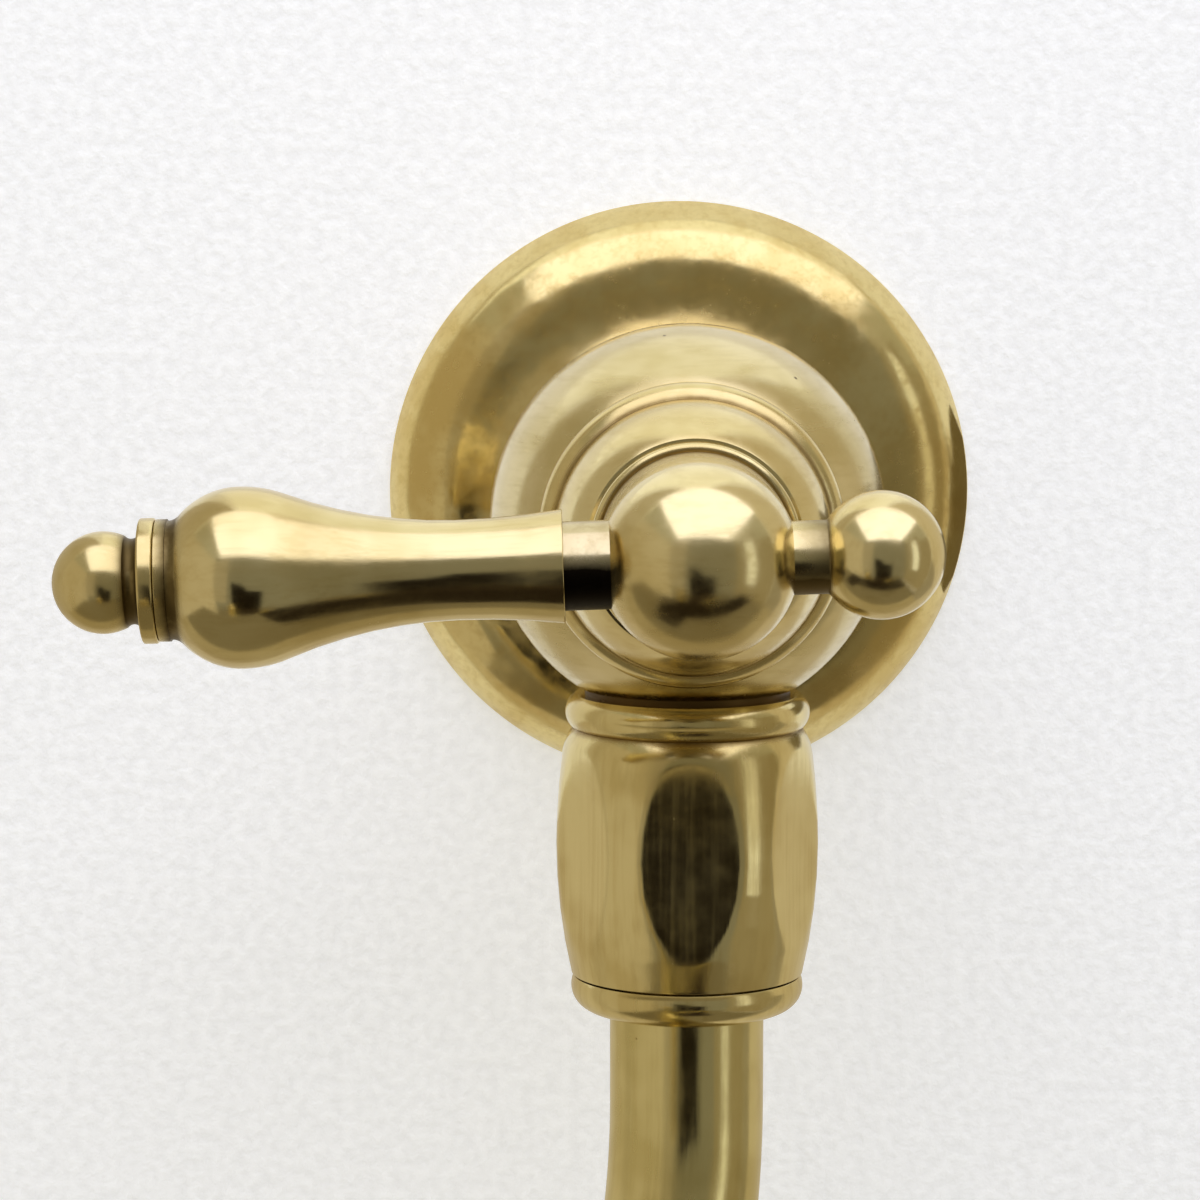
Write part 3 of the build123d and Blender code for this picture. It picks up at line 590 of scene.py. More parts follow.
out_of_wall = Matrix.Rotation(math.radians(90), 4, "X")
rim_rise = flange_crest - flange_lip
rim_run = flange_r - flange_crest_r
rim_radius = (rim_run**2 + rim_rise**2) / (2 * rim_rise)
rim_inside_r = flange_crest_r + math.sqrt(
    (rim_radius - flange_skin) ** 2 - (flange_crest - rim_radius) ** 2
)
hollow_rise = flange_collar_start - flange_crest
hollow_run = flange_crest_r - flange_collar_r
hollow_radius = (hollow_run**2 + hollow_rise**2) / (2 * hollow_rise)
collar_foot = flange_crest + hollow_radius - math.sqrt(
    (hollow_radius + flange_skin) ** 2 - (flange_crest_r - neck_r) ** 2
)
flange_outline = eased([
    *arc((flange_crest_r, flange_crest), (flange_r, flange_lip), (1, 0)),
    (flange_r, 0),
    *reversed(arc((flange_crest_r, flange_crest - flange_skin), (rim_inside_r, 0), (1, 0))),
    *arc((flange_crest_r, flange_crest - flange_skin), (neck_r, collar_foot), (-1, 0)),
    (neck_r, flange_collar_end),
    (flange_collar_r, flange_collar_end),
    *reversed(arc((flange_crest_r, flange_crest), (flange_collar_r, flange_collar_start), (-1, 0))),
], flange_edge)
flange_screw_out = (flange_collar_start + flange_collar_end) / 2
down_from_collar = Matrix.Translation((0, -flange_screw_out, 0)) @ Matrix.Rotation(math.pi, 4, "X")
flange_screw_hole = rod(flange_screw_r, neck_r - mm, flange_r, down_from_collar)
flange_screw_hole.transform(out_of_wall.inverted())
spun_brass = brass("spun_brass", gloss=0.13, haze=0.10, tarnish_amount=0.4,
                   pale=(0.76, 0.62, 0.28, 1), deep=(0.63, 0.47, 0.17, 1),
                   mark_stretch=(1, 1, 1), mark_depth=0.3, wave_depth=140.0, line_depth=0.45,
                   pits=0.3)
fit("wall_flange_spun", drilled(turned(flange_outline), flange_screw_hole), out_of_wall,
    "wall_valve", spun_brass, "wall_flange")


# ---- seals, screws and other small hidden pieces
# Rubber rings, steel screws and clips, ceramic discs and low friction washers: bought pieces that
# only show where the valve is open to below or behind. Their construction solids stay.
def plain_finish(name, tint, speck_tint, roughness, metallic, grain_size, grain_depth):
    """A moulded or machined finish with fine grain and slight clouding."""
    unevenness = 0.05
    finish, tree, output = empty_material(name)
    here = add(tree, "ShaderNodeTexCoord").outputs["Object"]
    grain = noise(tree, here, 1 / grain_size, 4.0, 0.6)
    clouds = ramp_between(tree, noise(tree, here, 90.0, 2.0), 0.3, 0.7)
    colour = mixed(tree, clouds, (*tint, 1), (*speck_tint, 1))
    uneven = add(tree, "ShaderNodeMapRange", {
        "Value": grain, "To Min": roughness - unevenness, "To Max": roughness + unevenness,
    }).outputs["Result"]
    surface = add(tree, "ShaderNodeBsdfPrincipled", {
        "Base Color": colour, "Metallic": metallic, "Roughness": uneven,
        "Normal": relief(tree, grain, grain_depth),
    })
    tree.links.new(surface.outputs[0], output.inputs["Surface"])
    return finish


def dress(finish, *nodes):
    """Give construction solids that stay in view their finish."""
    for name in nodes:
        solid = frame["nodes"][name]
        solid.data.materials.clear()
        solid.data.materials.append(finish)


rubber = plain_finish("black_rubber", (0.030, 0.030, 0.031), (0.045, 0.044, 0.043), 0.72, 0.0,
                      0.4 * mm, 0.02 * mm)
steel = plain_finish("stainless_steel", (0.62, 0.62, 0.60), (0.54, 0.54, 0.53), 0.32, 1.0,
                     0.2 * mm, 0.002 * mm)
ceramic = plain_finish("white_ceramic", (0.86, 0.85, 0.82), (0.82, 0.81, 0.78), 0.20, 0.0,
                       0.3 * mm, 0.001 * mm)
white_plastic = plain_finish("white_plastic", (0.88, 0.88, 0.86), (0.84, 0.84, 0.82), 0.55, 0.0,
                             0.3 * mm, 0.004 * mm)
grey_plastic = plain_finish("grey_plastic", (0.60, 0.61, 0.61), (0.55, 0.56, 0.56), 0.45, 0.0,
                            0.3 * mm, 0.004 * mm)
dress(rubber, "flange_seal", "headwork_base_seal", "headwork_o_ring", "stem_o_rings",
      "swivel_o_rings", "elbow_swivel_o_rings", "aerator_washer")
dress(steel, "flange_set_screw", "hub_set_screw", "stem_clip", "inlet_strainer", "aerator_screen")
dress(ceramic, "fixed_ceramic_disc", "moving_ceramic_disc")
dress(white_plastic, "upper_thrust_washer", "lower_thrust_washer", "elbow_upper_thrust_washer",
      "elbow_lower_thrust_washer")
dress(grey_plastic, "aerator_insert")


# ---- inlet shank
# Turned from hexagon brass bar, with a half inch pipe thread cut on the end that goes into the
# wall. Its bore takes a hexagon key, and it is sealed into the valve's neck.
shank_low, shank_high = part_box("inlet_shank")
shank_r = shank_high.x
shank_out = shank_high.y
shank_end = -shank_low.y
thread_pitch = 1.814 * mm
thread_depth = 1.1 * mm
thread_run_out = 1.0 * mm
shank_waist_r = 9.6 * mm
shank_bore_r = 6.4 * mm
key_flat = 6.7 * mm
key_depth = 9.0 * mm
shank_edge = 0.8 * mm
thread_steps = 12
just_past = 0.1 * mm


def threaded(radius, height, angle):
    """The shank's outside with its thread, and its bore with the socket for the key."""
    if radius > shank_waist_r + just_past:
        wave = abs(((height / thread_pitch - angle / math.tau) % 1.0) * 2 - 1)
        full = min(1.0, (height + shank_out) / thread_run_out, -height / thread_run_out)
        return radius - thread_depth * (1 - wave) * max(0.0, full)
    if height < key_depth - shank_out and radius < shank_bore_r + just_past:
        off = (angle + math.pi / 6) % (math.pi / 3) - math.pi / 6
        return key_flat / math.cos(off)
    return radius


thread_points = []
thread_rings = round(shank_out / thread_pitch * thread_steps)
for step in range(thread_rings + 1):
    thread_points.append((shank_r, -shank_out + shank_edge
                          + (shank_out - shank_edge) * step / thread_rings))
shank_outline = [
    (shank_bore_r, -shank_out), (shank_r - shank_edge, -shank_out), *thread_points,
    (shank_waist_r, 0), (shank_waist_r, shank_end), (shank_bore_r, shank_end),
    (shank_bore_r, key_depth - shank_out + just_past),
    (shank_bore_r, key_depth - shank_out - just_past),
]
machined_brass = brass("machined_brass", gloss=0.26, haze=0.12, tarnish_amount=0.5,
                       pale=(0.80, 0.66, 0.38, 1), deep=(0.70, 0.55, 0.28, 1),
                       mark_stretch=(1, 1, 1), mark_depth=1.5, line_depth=3.0, pits=0.2)
fit("inlet_shank_threaded", turned(shank_outline, 144, threaded), out_of_wall, "wall_valve",
    machined_brass, "inlet_shank")
dress(machined_brass, "headwork_housing", "stem", "swivel_tail", "elbow_swivel_tail")


# ---- valve body
# Cast and turned brass ball with a neck back to the wall and a threaded boss below, ground and
# hand polished. Long wiping marks run round it, and a few casting pits have stayed.
body_low, body_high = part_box("valve_body")
ball_r = body_high.x
front_face = -body_low.y
ball_out = 41.0 * mm
front_face_r = math.sqrt(ball_r**2 - (front_face - ball_out) ** 2)
neck_start = -body_high.y
boss_seat_r = 13.2 * mm
boss_neck_r = 12.6 * mm
boss_reach = 6.0 * mm
boss_root = 1.0 * mm
boss_edge = 0.1 * mm
body_edge = 0.25 * mm
# Painted shade: the flat and boss under each ball take the dark tarnish colour all over
gap_painted_shade = 3.0
ball_seat = math.sqrt(ball_r**2 - boss_seat_r**2)
neck_root = ball_out - math.sqrt(ball_r**2 - neck_r**2)
body_outline = eased([
    (0, neck_start), (neck_r, neck_start), (neck_r, neck_root),
    *bow((neck_r, neck_root), (ball_r, ball_out), (front_face_r, front_face)),
    (0, front_face),
], body_edge, closed=False)


def ball_with_boss(ball_outline, place, seat, axis_place):
    """A turned ball with a flat ground under it and the boss that hangs there."""
    ball = turned(ball_outline, 320)
    ball.transform(place)
    below = axis_place @ Matrix.Translation((0, 0, -seat))
    # The flat and boss are coloured dark all over: painted shade in the gap above the nut.
    flat = rod(2 * ball_r, 0, -2 * ball_r, below, 64, painted_shade=gap_painted_shade)
    side = eased([(boss_neck_r, boss_root), (boss_neck_r, -boss_reach)], boss_edge, False)
    boss = turned([(0, boss_root), *side, (0, -boss_reach)], 192, painted_shade=gap_painted_shade)
    boss.transform(below)
    return joined(drilled(ball, flat), boss)


body_mesh = ball_with_boss(body_outline, out_of_wall, ball_seat,
                           Matrix.Translation((0, -ball_out, 0)))
body_mesh.transform(out_of_wall.inverted())
# Its tarnish colour is nearly black: tarnish in the hollows and pits, painted shade on the flat and
# boss under the ball.
ball_brass = brass("ball_brass", gloss=0.14, haze=0.12, tarnish_amount=0.7,
                   pale=(0.69, 0.58, 0.31, 1), deep=(0.58, 0.47, 0.21, 1),
                   tarnish=(0.10, 0.06, 0.02, 1), wave_depth=30.0,
                   mark_stretch=(0.15, 1, 0.15), mark_depth=0.9, line_depth=0.2, pits=1.0)
fit("valve_body_polished", body_mesh, out_of_wall, "wall_valve", ball_brass, "valve_body")


# ---- bonnet
# A turned brass dome with a bead round its foot. It screws over the headwork and stands on the
# flat at the front of the ball, with a fine dark line where they meet.
bonnet_low, bonnet_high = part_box("bonnet")
bonnet_foot = -bonnet_high.y
bonnet_end = -bonnet_low.y
bead_height = 3.05 * mm
bead_swell = 0.55 * mm
bead_crest = 1.9 * mm
dome_foot_r = 16.4 * mm
dome_top_r = 12.6 * mm
bonnet_hole_r = 6.5 * mm
bonnet_edge = 0.12 * mm
dome_foot = bonnet_foot + bead_height
bead_middle = ((front_face_r + dome_foot_r) / 2 + bead_swell, bonnet_foot + bead_crest)
bonnet_outline = eased([
    (bonnet_hole_r, bonnet_foot), (front_face_r, bonnet_foot),
    *bow((front_face_r, bonnet_foot), bead_middle, (dome_foot_r, dome_foot)),
    *arc((dome_foot_r, dome_foot), (dome_top_r, bonnet_end), (0, 1)),
    (bonnet_hole_r, bonnet_end),
], bonnet_edge)
dome_brass = brass("dome_brass", gloss=0.12, haze=0.12, tarnish_amount=0.8,
                   mark_stretch=(0.3, 1, 0.3), mark_depth=0.8, wave_depth=25.0, line_depth=0.5,
                   pits=1.0)
fit("bonnet_turned", turned(bonnet_outline), out_of_wall, "wall_valve", dome_brass, "bonnet")


# ---- handle hub
# A turned brass hub with a round end and a thin rolled edge at its foot. It slides on the splined
# stem and is held by a set screw from below; the lever and a small finial screw into its sides.
hub_low, hub_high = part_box("handle_hub")
hub_back = -hub_high.y
hub_tip = -hub_low.y
hub_r = 11.2 * mm
handle_droop = math.radians(2)
skirt_r = 12.2 * mm
skirt_height = 1.3 * mm
hub_edge = 0.12 * mm
hub_hollow_r = 10.2 * mm
hub_hollow_depth = 3.0 * mm
hub_screw_back = 7.0 * mm
hub_screw_r = 2.05 * mm
hub_screw_floor = 3.6 * mm
handle_out = hub_tip - hub_r
skirt_end = hub_back + skirt_height
hub_outline = eased([
    (0, hub_back + hub_hollow_depth), (hub_hollow_r, hub_back + hub_hollow_depth),
    (hub_hollow_r, hub_back), (skirt_r - skirt_height / 2, hub_back),
    *bow((skirt_r - skirt_height / 2, hub_back), (skirt_r, hub_back + skirt_height / 2),
         (hub_r, skirt_end)),
    (hub_r, handle_out),
    *arc((hub_r, handle_out), (0, hub_tip), (0, 1)),
], hub_edge, closed=False)
# The arc's last point, exactly on the axis
hub_outline[-1] = (0, hub_tip)
below_hub = Matrix.Rotation(math.pi - handle_droop, 4, "Y")
below_hub.translation.y = hub_screw_back - handle_out
hub_screw_hole = rod(hub_screw_r, hub_screw_floor, 2 * hub_r, below_hub)
hub_screw_hole.transform(out_of_wall.inverted())
hub_brass = brass("hub_brass", gloss=0.15, haze=0.10, tarnish_amount=0.6, wave_depth=35.0,
                  mark_stretch=(0.3, 1, 0.3), mark_depth=0.7, line_depth=0.2, pits=0.8)
fit("handle_hub_turned", drilled(turned(hub_outline), hub_screw_hole), out_of_wall, "handle",
    hub_brass, "handle_hub")


# ---- lever stud
# A short brass stud between hub and lever, its colour darkening to near black towards its
# underside as painted shade, so that only its upper side still shines a little.
lever_start = 15.2 * mm
stud_r = 5.0 * mm
stud_root = 9.4 * mm
stud_end = lever_start + 2.0 * mm
# The cap of the painted shade on the stud's underside, and how steeply painted shade grows towards
# the underside of the stud and of the hub finial's neck
stud_painted_shade_cap = 1.6
painted_shade_fade = 3.0
towards_lever = Matrix.Rotation(-handle_droop, 4, "Y") @ Matrix.Translation(
    (0, -handle_out, 0)) @ Matrix.Rotation(math.radians(-90), 4, "Y")
# Its nearly black tarnish colour is the painted shade on the stud's underside.
stud_brass_with_painted_shade = brass("stud_brass_with_painted_shade", gloss=0.13, haze=0.12, tarnish_amount=1.0,
                   pale=(0.66, 0.56, 0.32, 1), deep=(0.50, 0.40, 0.20, 1),
                   tarnish=(0.015, 0.011, 0.007, 1),
                   mark_stretch=(1, 1, 1), mark_depth=0.7, line_depth=0.8, pits=1.0)
stud_mesh = rod(stud_r, stud_root, stud_end, segments=160)
# Painted shade: darker from the stud's upper side towards its underside.
for vertex, painted_shade in zip(stud_mesh.vertices, stud_mesh.attributes["tarnish_and_shade"].data):
    painted_shade.value = min(stud_painted_shade_cap, max(0.0, 1.0 - painted_shade_fade * vertex.co.x / stud_r))
fit("lever_stud_painted_shade", stud_mesh, towards_lever, "handle", stud_brass_with_painted_shade, "lever_stud")


# ---- lever
# Turned from brass bar as a baluster: a flared mouth, a slim waist and a full bulb that drops to a
# thin ring. Rubbed bright by hands on its upper side.
waist_at, waist_r = 27.0 * mm, 5.6 * mm
mouth_r = 6.4 * mm
swell_at, swell_r = 46.0 * mm, 9.2 * mm
crown_at, crown_r = 51.2 * mm, 10.2 * mm
heel_at, heel_r = 57.9 * mm, 7.2 * mm
lever_neck_at, lever_neck_r = 59.2 * mm, 6.65 * mm
lever_ring_r = 6.85 * mm
lever_end = 60.5 * mm
mouth_hole_r = stud_r + 0.15 * mm
mouth_hole_depth = 0.6 * mm
lever_edge = 0.15 * mm
worn_spread = 0.9 * mm
heel_arc = arc((crown_r, crown_at), (heel_r, heel_at), (0, 1))
heel_leaving = Vector(heel_arc[-1]) - Vector(heel_arc[-2])
lever_outline = eased([
    (0, lever_start + mouth_hole_depth), (mouth_hole_r, lever_start + mouth_hole_depth),
    (mouth_hole_r, lever_start), (mouth_r, lever_start),
    *reversed(arc((waist_r, waist_at), (mouth_r, lever_start), (0, -1))),
    *arc((waist_r, waist_at), (swell_r, swell_at), (0, 1)),
    *reversed(arc((crown_r, crown_at), (swell_r, swell_at), (0, -1))),
    *heel_arc,
    *arc((heel_r, heel_at), (lever_neck_r, lever_neck_at), heel_leaving),
    (lever_ring_r, lever_neck_at), (lever_ring_r, lever_end), (0, lever_end),
], lever_edge, closed=False)
lever_brass = brass("lever_brass", gloss=0.13, haze=0.07, tarnish_amount=1.0,
                    tarnish=(0.13, 0.09, 0.03, 1), wave_depth=25.0,
                    mark_stretch=(1, 1, 0.06), mark_depth=6.0, line_depth=0.2, pits=0.7)
fit("lever_turned", turned(lever_outline, spread=worn_spread), towards_lever, "handle",
    lever_brass, "lever")


# ---- lever finial
# A small ball with a neck and a ring, turned in one piece and screwed into the lever's end. Brown
# tarnish sits in the neck and in the fine seam against the lever.
finial_ring_r = 7.05 * mm
finial_ring_width = 1.8 * mm
finial_ring_round = 0.35 * mm
finial_neck_r = 4.8 * mm
finial_ball_r = 5.75 * mm
finial_end = 72.35 * mm
finial_neck_curve = 0.9 * mm
finial_neck_flare = 0.35 * mm
seam = 0.05 * mm
finial_start = lever_end + seam
finial_ball_at = finial_end - finial_ball_r
finial_ring_end = finial_start + finial_ring_width
finial_meet_r = finial_neck_r + finial_neck_flare
finial_meet = finial_ball_at - math.sqrt(finial_ball_r**2 - finial_meet_r**2)
finial_neck_at = (finial_ring_end + finial_meet) / 2
finial_outline = eased([
    (0, finial_start), (finial_ring_r, finial_start), (finial_ring_r, finial_ring_end),
    *bow((finial_neck_r + finial_neck_curve, finial_ring_end), (finial_neck_r, finial_neck_at),
         (finial_meet_r, finial_meet)),
    *bow((finial_meet_r, finial_meet), (finial_ball_r, finial_ball_at), (0, finial_end)),
], finial_ring_round, closed=False)
finial_outline[-1] = (0, finial_end)
finial_brass = brass("finial_brass", gloss=0.15, haze=0.08, tarnish_amount=1.0,
                     tarnish=(0.13, 0.09, 0.03, 1),
                     mark_stretch=(0.4, 1, 0.4), mark_depth=1.5, line_depth=0.3, pits=0.8)
fit("lever_finial_turned", turned(finial_outline, 192, spread=worn_spread), towards_lever,
    "handle", finial_brass, "lever_finial")


# ---- hub finial
# The plain ball on a short neck that closes the hub's other side, turned from brass rod and
# screwed in.
knob_neck_r = 4.15 * mm
knob_ball_r = 7.25 * mm
knob_end = 27.55 * mm
knob_ball_at = knob_end - knob_ball_r
knob_root = 9.4 * mm
knob_edge = 0.4 * mm
# The cap of the painted shade on the underside of the neck, and how much of the neck's upper side
# stays clear of it
knob_painted_shade_cap = 1.4
knob_shade_offset = 0.6
away_from_lever = towards_lever @ Matrix.Rotation(math.pi, 4, "Y")
knob_meet = knob_ball_at - math.sqrt(knob_ball_r**2 - knob_neck_r**2)
knob_outline = eased([
    (0, knob_root), (knob_neck_r, knob_root), (knob_neck_r, knob_meet),
    *bow((knob_neck_r, knob_meet), (knob_ball_r, knob_ball_at), (0, knob_end)),
], knob_edge, closed=False)
knob_outline[-1] = (0, knob_end)
knob_mesh = turned(knob_outline, 192)
# Painted shade: the neck's underside takes the tarnish colour, more of it further down.
for vertex, painted_shade in zip(knob_mesh.vertices, knob_mesh.attributes["tarnish_and_shade"].data):
    if vertex.co.z < knob_meet:
        below = painted_shade_fade * vertex.co.x / knob_neck_r - knob_shade_offset
        painted_shade.value = min(knob_painted_shade_cap, max(painted_shade.value, below))
fit("hub_finial_turned", knob_mesh, away_from_lever, "handle", finial_brass, "hub_finial")


# ---- barrel nuts
# The same nut twice, under the valve and under the elbow: brass turned to a barrel with a bead at
# its top, then given six flats for a spanner on a big grinding wheel, their edges buffed soft.
nut_top = 0.8 * mm
nut_top_r = 13.8 * mm
nut_bead_r = 14.92 * mm
nut_bead_drop = 1.5 * mm
nut_bead_height = 4.15 * mm
nut_crease_r = 14.07 * mm
nut_shoulder_r = 15.4 * mm
nut_shoulder_drop = 3.4 * mm
nut_belly_r = 16.12 * mm
nut_belly_drop = 18.6 * mm
nut_foot_r = 14.25 * mm
nut_flat = 14.9 * mm
flat_wheel_r = 357.14 * mm
nut_softness = 150
nut_edge = 0.07 * mm
nut_step = 0.4 * mm
nut_guide_r = 10.68 * mm
tube_r = 9.5 * mm
nut_low, nut_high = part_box("barrel_nut")
nut_end = nut_top + nut_high.z - nut_low.z
nut_crease = nut_top + nut_bead_height
nut_belly = nut_top + nut_belly_drop
nut_shoulder = nut_crease + nut_shoulder_drop
belly_upper = arc((nut_belly_r, nut_belly), (nut_shoulder_r, nut_shoulder), (0, -1))
shoulder_leaving = Vector(belly_upper[-1]) - Vector(belly_upper[-2])
nut_outline = eased([
    (nut_guide_r, nut_top), (nut_top_r, nut_top),
    *bow((nut_top_r, nut_top), (nut_bead_r, nut_top + nut_bead_drop), (nut_crease_r, nut_crease)),
    *reversed(arc((nut_shoulder_r, nut_shoulder), (nut_crease_r, nut_crease), shoulder_leaving)),
    *reversed(belly_upper),
    *arc((nut_belly_r, nut_belly), (nut_foot_r, nut_end), (0, 1)),
    (nut_guide_r, nut_end),
], nut_edge)


def finely(outline, step):
    """The outline with points no further apart than a step."""
    result = []
    for start, end in zip(outline, [*outline[1:], outline[0]]):
        parts = max(1, math.ceil((Vector(end) - Vector(start)).length / step))
        for part in range(parts):
            result.append(tuple(Vector(start).lerp(Vector(end), part / parts)))
    return result


def with_flats(radius, height, angle):
    """The barrel with its six soft edged flats, one of them straight to the front."""
    if radius < nut_foot_r - mm or height < nut_crease:
        return radius
    off = angle % (math.pi / 3)
    off = min(off, math.pi / 3 - off)
    flat = (nut_flat + (height - nut_belly) ** 2 / (2 * flat_wheel_r)) / math.cos(off)
    return (radius**-nut_softness + flat**-nut_softness) ** (-1 / nut_softness)


nut_brass = brass("nut_brass", gloss=0.12, haze=0.10, tarnish_amount=0.8,
                  pale=(0.76, 0.64, 0.31, 1), deep=(0.62, 0.49, 0.20, 1),
                  mark_stretch=(1, 1, 0.03), mark_depth=9.0, wave_depth=20.0, line_depth=0.1,
                  pits=0.7)
first_axis = Matrix.Translation((0, -ball_out, -ball_seat)) @ Matrix.Rotation(math.pi, 4, "X")
elbow_joint = next(joint for joint in frame["joints"] if joint["name"] == "second_arm_swing")
elbow_place = Vector(elbow_joint["pos_m"])
elbow_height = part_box("first_arm_tube")[0].z + tube_r
elbow_seat_drop = elbow_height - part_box("elbow_barrel_nut")[1].z - nut_top
second_axis = Matrix.Translation(
    (elbow_place.x, elbow_place.y, elbow_height - elbow_seat_drop)
) @ Matrix.Rotation(math.pi, 4, "X")
first_turn = math.atan2(elbow_place.x, -(elbow_place.y + ball_out))
for prefix, axis, turn, body in (
    ("", first_axis, 0.0, "wall_valve"), ("elbow_", second_axis, first_turn, "first_arm"),
):
    mesh = turned(finely(nut_outline, nut_step), 384, with_flats)
    mesh.transform(Matrix.Rotation(math.radians(90) - turn, 4, "Z"))
    fit(prefix + "barrel_nut_buffed", mesh, axis, body, nut_brass, prefix + "barrel_nut")


# ---- ferrules
# A round shouldered brass ring on each swivel's tail, pressed against the nut so that only a fine
# dark line shows between them. It hides the brazed joint of tail and tube.
ferrule_r = 14.3 * mm
ferrule_crest = 1.3 * mm
ferrule_swell = 0.3 * mm
ferrule_round = 3.0 * mm
ferrule_inner_r = 9.53 * mm
ferrule_edge = 0.05 * mm
ferrule_low, ferrule_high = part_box("ferrule")
ferrule_start = -ball_seat - ferrule_high.z
ferrule_end = -ball_seat - ferrule_low.z
ferrule_outline = eased([
    (ferrule_inner_r, ferrule_start),
    *reversed(arc((ferrule_r, ferrule_start + ferrule_crest),
                  (ferrule_r - ferrule_swell, ferrule_start), (0, -1))),
    *arc((ferrule_r, ferrule_start + ferrule_crest), (ferrule_r - ferrule_round, ferrule_end),
         (0, 1)),
    (ferrule_inner_r, ferrule_end),
], ferrule_edge)
for name, axis, body in (("ferrule", first_axis, "first_arm"),
                         ("elbow_ferrule", second_axis, "second_arm")):
    fit(name + "_turned", turned(ferrule_outline, 192), axis, body, nut_brass, name)


# ---- first arm tube
# Drawn brass tube, bent once from the swivel to the level arm and brazed at both ends, with long
# wiping marks along it.
tube_wall = 1.2 * mm
bend_r = 40.0 * mm


def run(corners, bend):
    """Points and directions along straight runs in the YZ plane that meet in round bends."""
    corners = [Vector(corner) for corner in corners]
    places = [(corners[0], (corners[1] - corners[0]).normalized())]
    for before, corner, after in zip(corners, corners[1:], corners[2:]):
        coming, going = (corner - before).normalized(), (after - corner).normalized()
        turn = coming.angle_signed(going)
        cut = bend * math.tan(abs(turn) / 2)
        start = corner - coming * cut
        towards = (going - coming * coming.dot(going)).normalized()
        centre = start + towards * bend
        steps = max(2, math.ceil(abs(turn) / math.radians(3)))
        for step in range(steps + 1):
            angle = abs(turn) * step / steps
            point = centre - towards * bend * math.cos(angle) + coming * bend * math.sin(angle)
            ahead = coming * math.cos(angle) + towards * math.sin(angle)
            places.append((point, ahead))
    places.append((corners[-1], (corners[-1] - corners[-2]).normalized()))
    return places


def drawn_tube(corners, segments=128, longest=12 * mm):
    """A tube along corners in the YZ plane of its own frame."""
    places = []
    raw = run(corners, bend_r)
    for (start, ahead), (end, _) in zip(raw, raw[1:]):
        parts = max(1, math.ceil((end - start).length / longest))
        for part in range(parts):
            places.append((start.lerp(end, part / parts), ahead))
    places.append(raw[-1])
    rings, vertices, faces = [], [], []
    for reach, order in ((tube_r, places), (tube_r - tube_wall, places[::-1])):
        for point, ahead in order:
            rings.append(len(vertices))
            for step in range(segments):
                angle = math.tau * step / segments
                side = reach * math.sin(angle)
                vertices.append((
                    reach * math.cos(angle), point.x - side * ahead.y, point.y + side * ahead.x,
                ))
    for one, two in zip(rings, [*rings[1:], rings[0]]):
        for step in range(segments):
            after = (step + 1) % segments
            faces.append((one + step, one + after, two + after, two + step))
    return outward("tube", vertices, faces)


first_length = math.hypot(elbow_place.x, elbow_place.y + ball_out)
first_arm = Matrix.Translation((0, -ball_out, 0)) @ Matrix.Rotation(first_turn, 4, "Z")
first_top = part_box("first_arm_tube")[1].z
elbow_socket_floor = 12.05 * mm
tube_brass = brass("tube_brass", gloss=0.14, haze=0.10, tarnish_amount=0.6,
                   pale=(0.72, 0.61, 0.28, 1), deep=(0.60, 0.49, 0.195, 1),
                   mark_stretch=(1, 0.05, 0.05), mark_depth=7.0, wave_depth=25.0, line_depth=0.0,
                   pits=0.6)
first_tube = drawn_tube([
    (0, first_top), (0, elbow_height), (elbow_socket_floor - first_length, elbow_height),
])
fit("first_arm_tube_drawn", first_tube, first_arm, "first_arm", tube_brass, "first_arm_tube")


# ---- ball elbow and its collar
# A smaller cast and polished ball with a socket for the first arm and the second swivel's boss
# below. A round shouldered collar closes the brazed joint against the socket's rim.
elbow = first_arm @ Matrix.Translation((0, -first_length, elbow_height))
elbow_r = 19.0 * mm
elbow_neck_r = 12.0 * mm
elbow_reach = 24.0 * mm
elbow_rim_r = 13.4 * mm
elbow_rim_width = 2.6 * mm
elbow_edge = 0.35 * mm
elbow_collar_land = 1.4 * mm
elbow_collar_edge = 0.12 * mm
back_to_valve = Matrix.Rotation(math.radians(-90), 4, "X")
elbow_meet = math.sqrt(elbow_r**2 - elbow_neck_r**2)
elbow_outline = eased([
    *bow((0, -elbow_r), (elbow_r, 0), (elbow_neck_r, elbow_meet)),
    (elbow_neck_r, elbow_reach - elbow_rim_width), (elbow_rim_r, elbow_reach - elbow_rim_width),
    (elbow_rim_r, elbow_reach), (0, elbow_reach),
], elbow_edge, closed=False)
elbow_outline[0] = (0, -elbow_r)
elbow_mesh = ball_with_boss(elbow_outline, back_to_valve, elbow_seat_drop, Matrix.Identity(4))
elbow_mesh.transform(Matrix.Rotation(first_turn, 4, "Z"))
fit("ball_elbow_polished", elbow_mesh, Matrix.Translation(elbow.translation), "first_arm",
    ball_brass, "ball_elbow")
collar_start = elbow_reach + seam
collar_land_end = collar_start + elbow_collar_land
collar_end = collar_land_end + elbow_rim_r - tube_r
collar_outline = eased([
    (ferrule_inner_r, collar_start), (elbow_rim_r, collar_start), (elbow_rim_r, collar_land_end),
    *arc((elbow_rim_r, collar_land_end), (ferrule_inner_r, collar_end), (0, 1)),
], elbow_collar_edge)
fit("elbow_collar_turned", turned(collar_outline, 192), elbow @ back_to_valve, "first_arm",
    nut_brass, "elbow_collar")


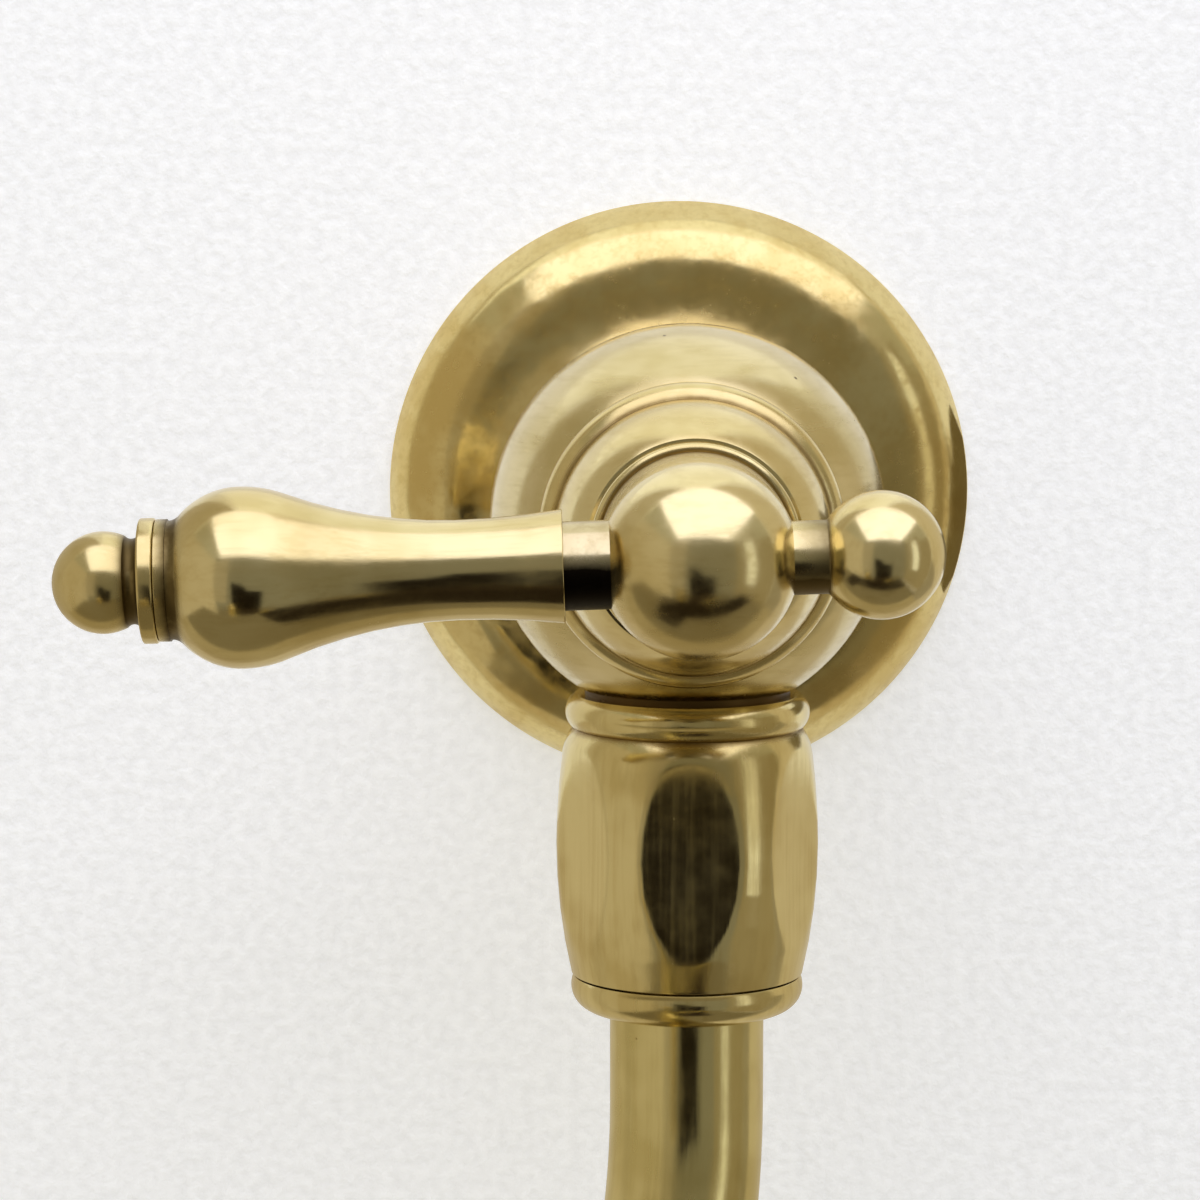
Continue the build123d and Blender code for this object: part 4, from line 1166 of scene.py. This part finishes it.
# ---- second arm tube
# The same drawn tube, bent at both ends: from the swivel under the elbow to the level arm, and
# down again to the outlet.
outlet_low, outlet_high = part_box("aerator_shell")
outlet = (outlet_low + outlet_high) / 2
second_low, second_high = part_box("second_arm_tube")
second_place = Vector((elbow_place.x, elbow_place.y, 0))
second_out = Vector((outlet.x, outlet.y, 0)) - second_place
second_turn = math.atan2(second_out.x, -second_out.y)
second_arm = Matrix.Translation(second_place) @ Matrix.Rotation(second_turn, 4, "Z")
spout_drop = 14.0 * mm
second_height = second_low.z + bend_r + spout_drop
second_tube = drawn_tube([
    (0, second_high.z), (0, second_height), (-second_out.length, second_height),
    (-second_out.length, second_low.z),
])
fit("second_arm_tube_drawn", second_tube, second_arm, "second_arm", tube_brass, "second_arm_tube")


# ---- outlet
# A turned brass collar brazed on the tube's end, with the aerator screwed into it: a thin brass
# ring round a grey plastic core with fine holes.
spout_low, spout_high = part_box("spout_collar")
spout_collar_r = 13.7 * mm
collar_shoulder = spout_collar_r - tube_r
outlet_axis = Matrix.Translation((outlet.x, outlet.y, spout_high.z)) @ Matrix.Rotation(
    math.pi, 4, "X")
spout_length = spout_high.z - spout_low.z
spout_thread_r = 12.1 * mm
spout_thread_depth = 2.0 * mm
spout_thread_top = spout_length - spout_thread_depth
spout_edge = 0.2 * mm
spout_outline = eased([
    *reversed(arc((spout_collar_r, collar_shoulder), (ferrule_inner_r, 0), (0, -1))),
    (spout_collar_r, spout_length), (spout_thread_r, spout_length),
    (spout_thread_r, spout_thread_top), (ferrule_inner_r, spout_thread_top),
], spout_edge)
fit("spout_collar_turned", turned(spout_outline, 192), outlet_axis, "second_arm", nut_brass,
    "spout_collar")
shell_start = spout_high.z - outlet_high.z
shell_end = spout_high.z - outlet_low.z
rim_height = 2.8 * mm
aerator_rim_r = 13.2 * mm
aerator_thread_r = 12.0 * mm
aerator_bore_r = 10.6 * mm
aerator_lip_r = 9.6 * mm
aerator_edge = 0.3 * mm
aerator_lip = 1.2 * mm
aerator_lip_start = shell_end - aerator_lip
shell_outline = eased([
    (aerator_bore_r, shell_start), (aerator_thread_r, shell_start),
    (aerator_thread_r, shell_end - rim_height), (aerator_rim_r, shell_end - rim_height),
    (aerator_rim_r, shell_end), (aerator_lip_r, shell_end),
    (aerator_lip_r, aerator_lip_start), (aerator_bore_r, aerator_lip_start),
], aerator_edge)
fit("aerator_shell_turned", turned(shell_outline, 192), outlet_axis, "second_arm", finial_brass,
    "aerator_shell")
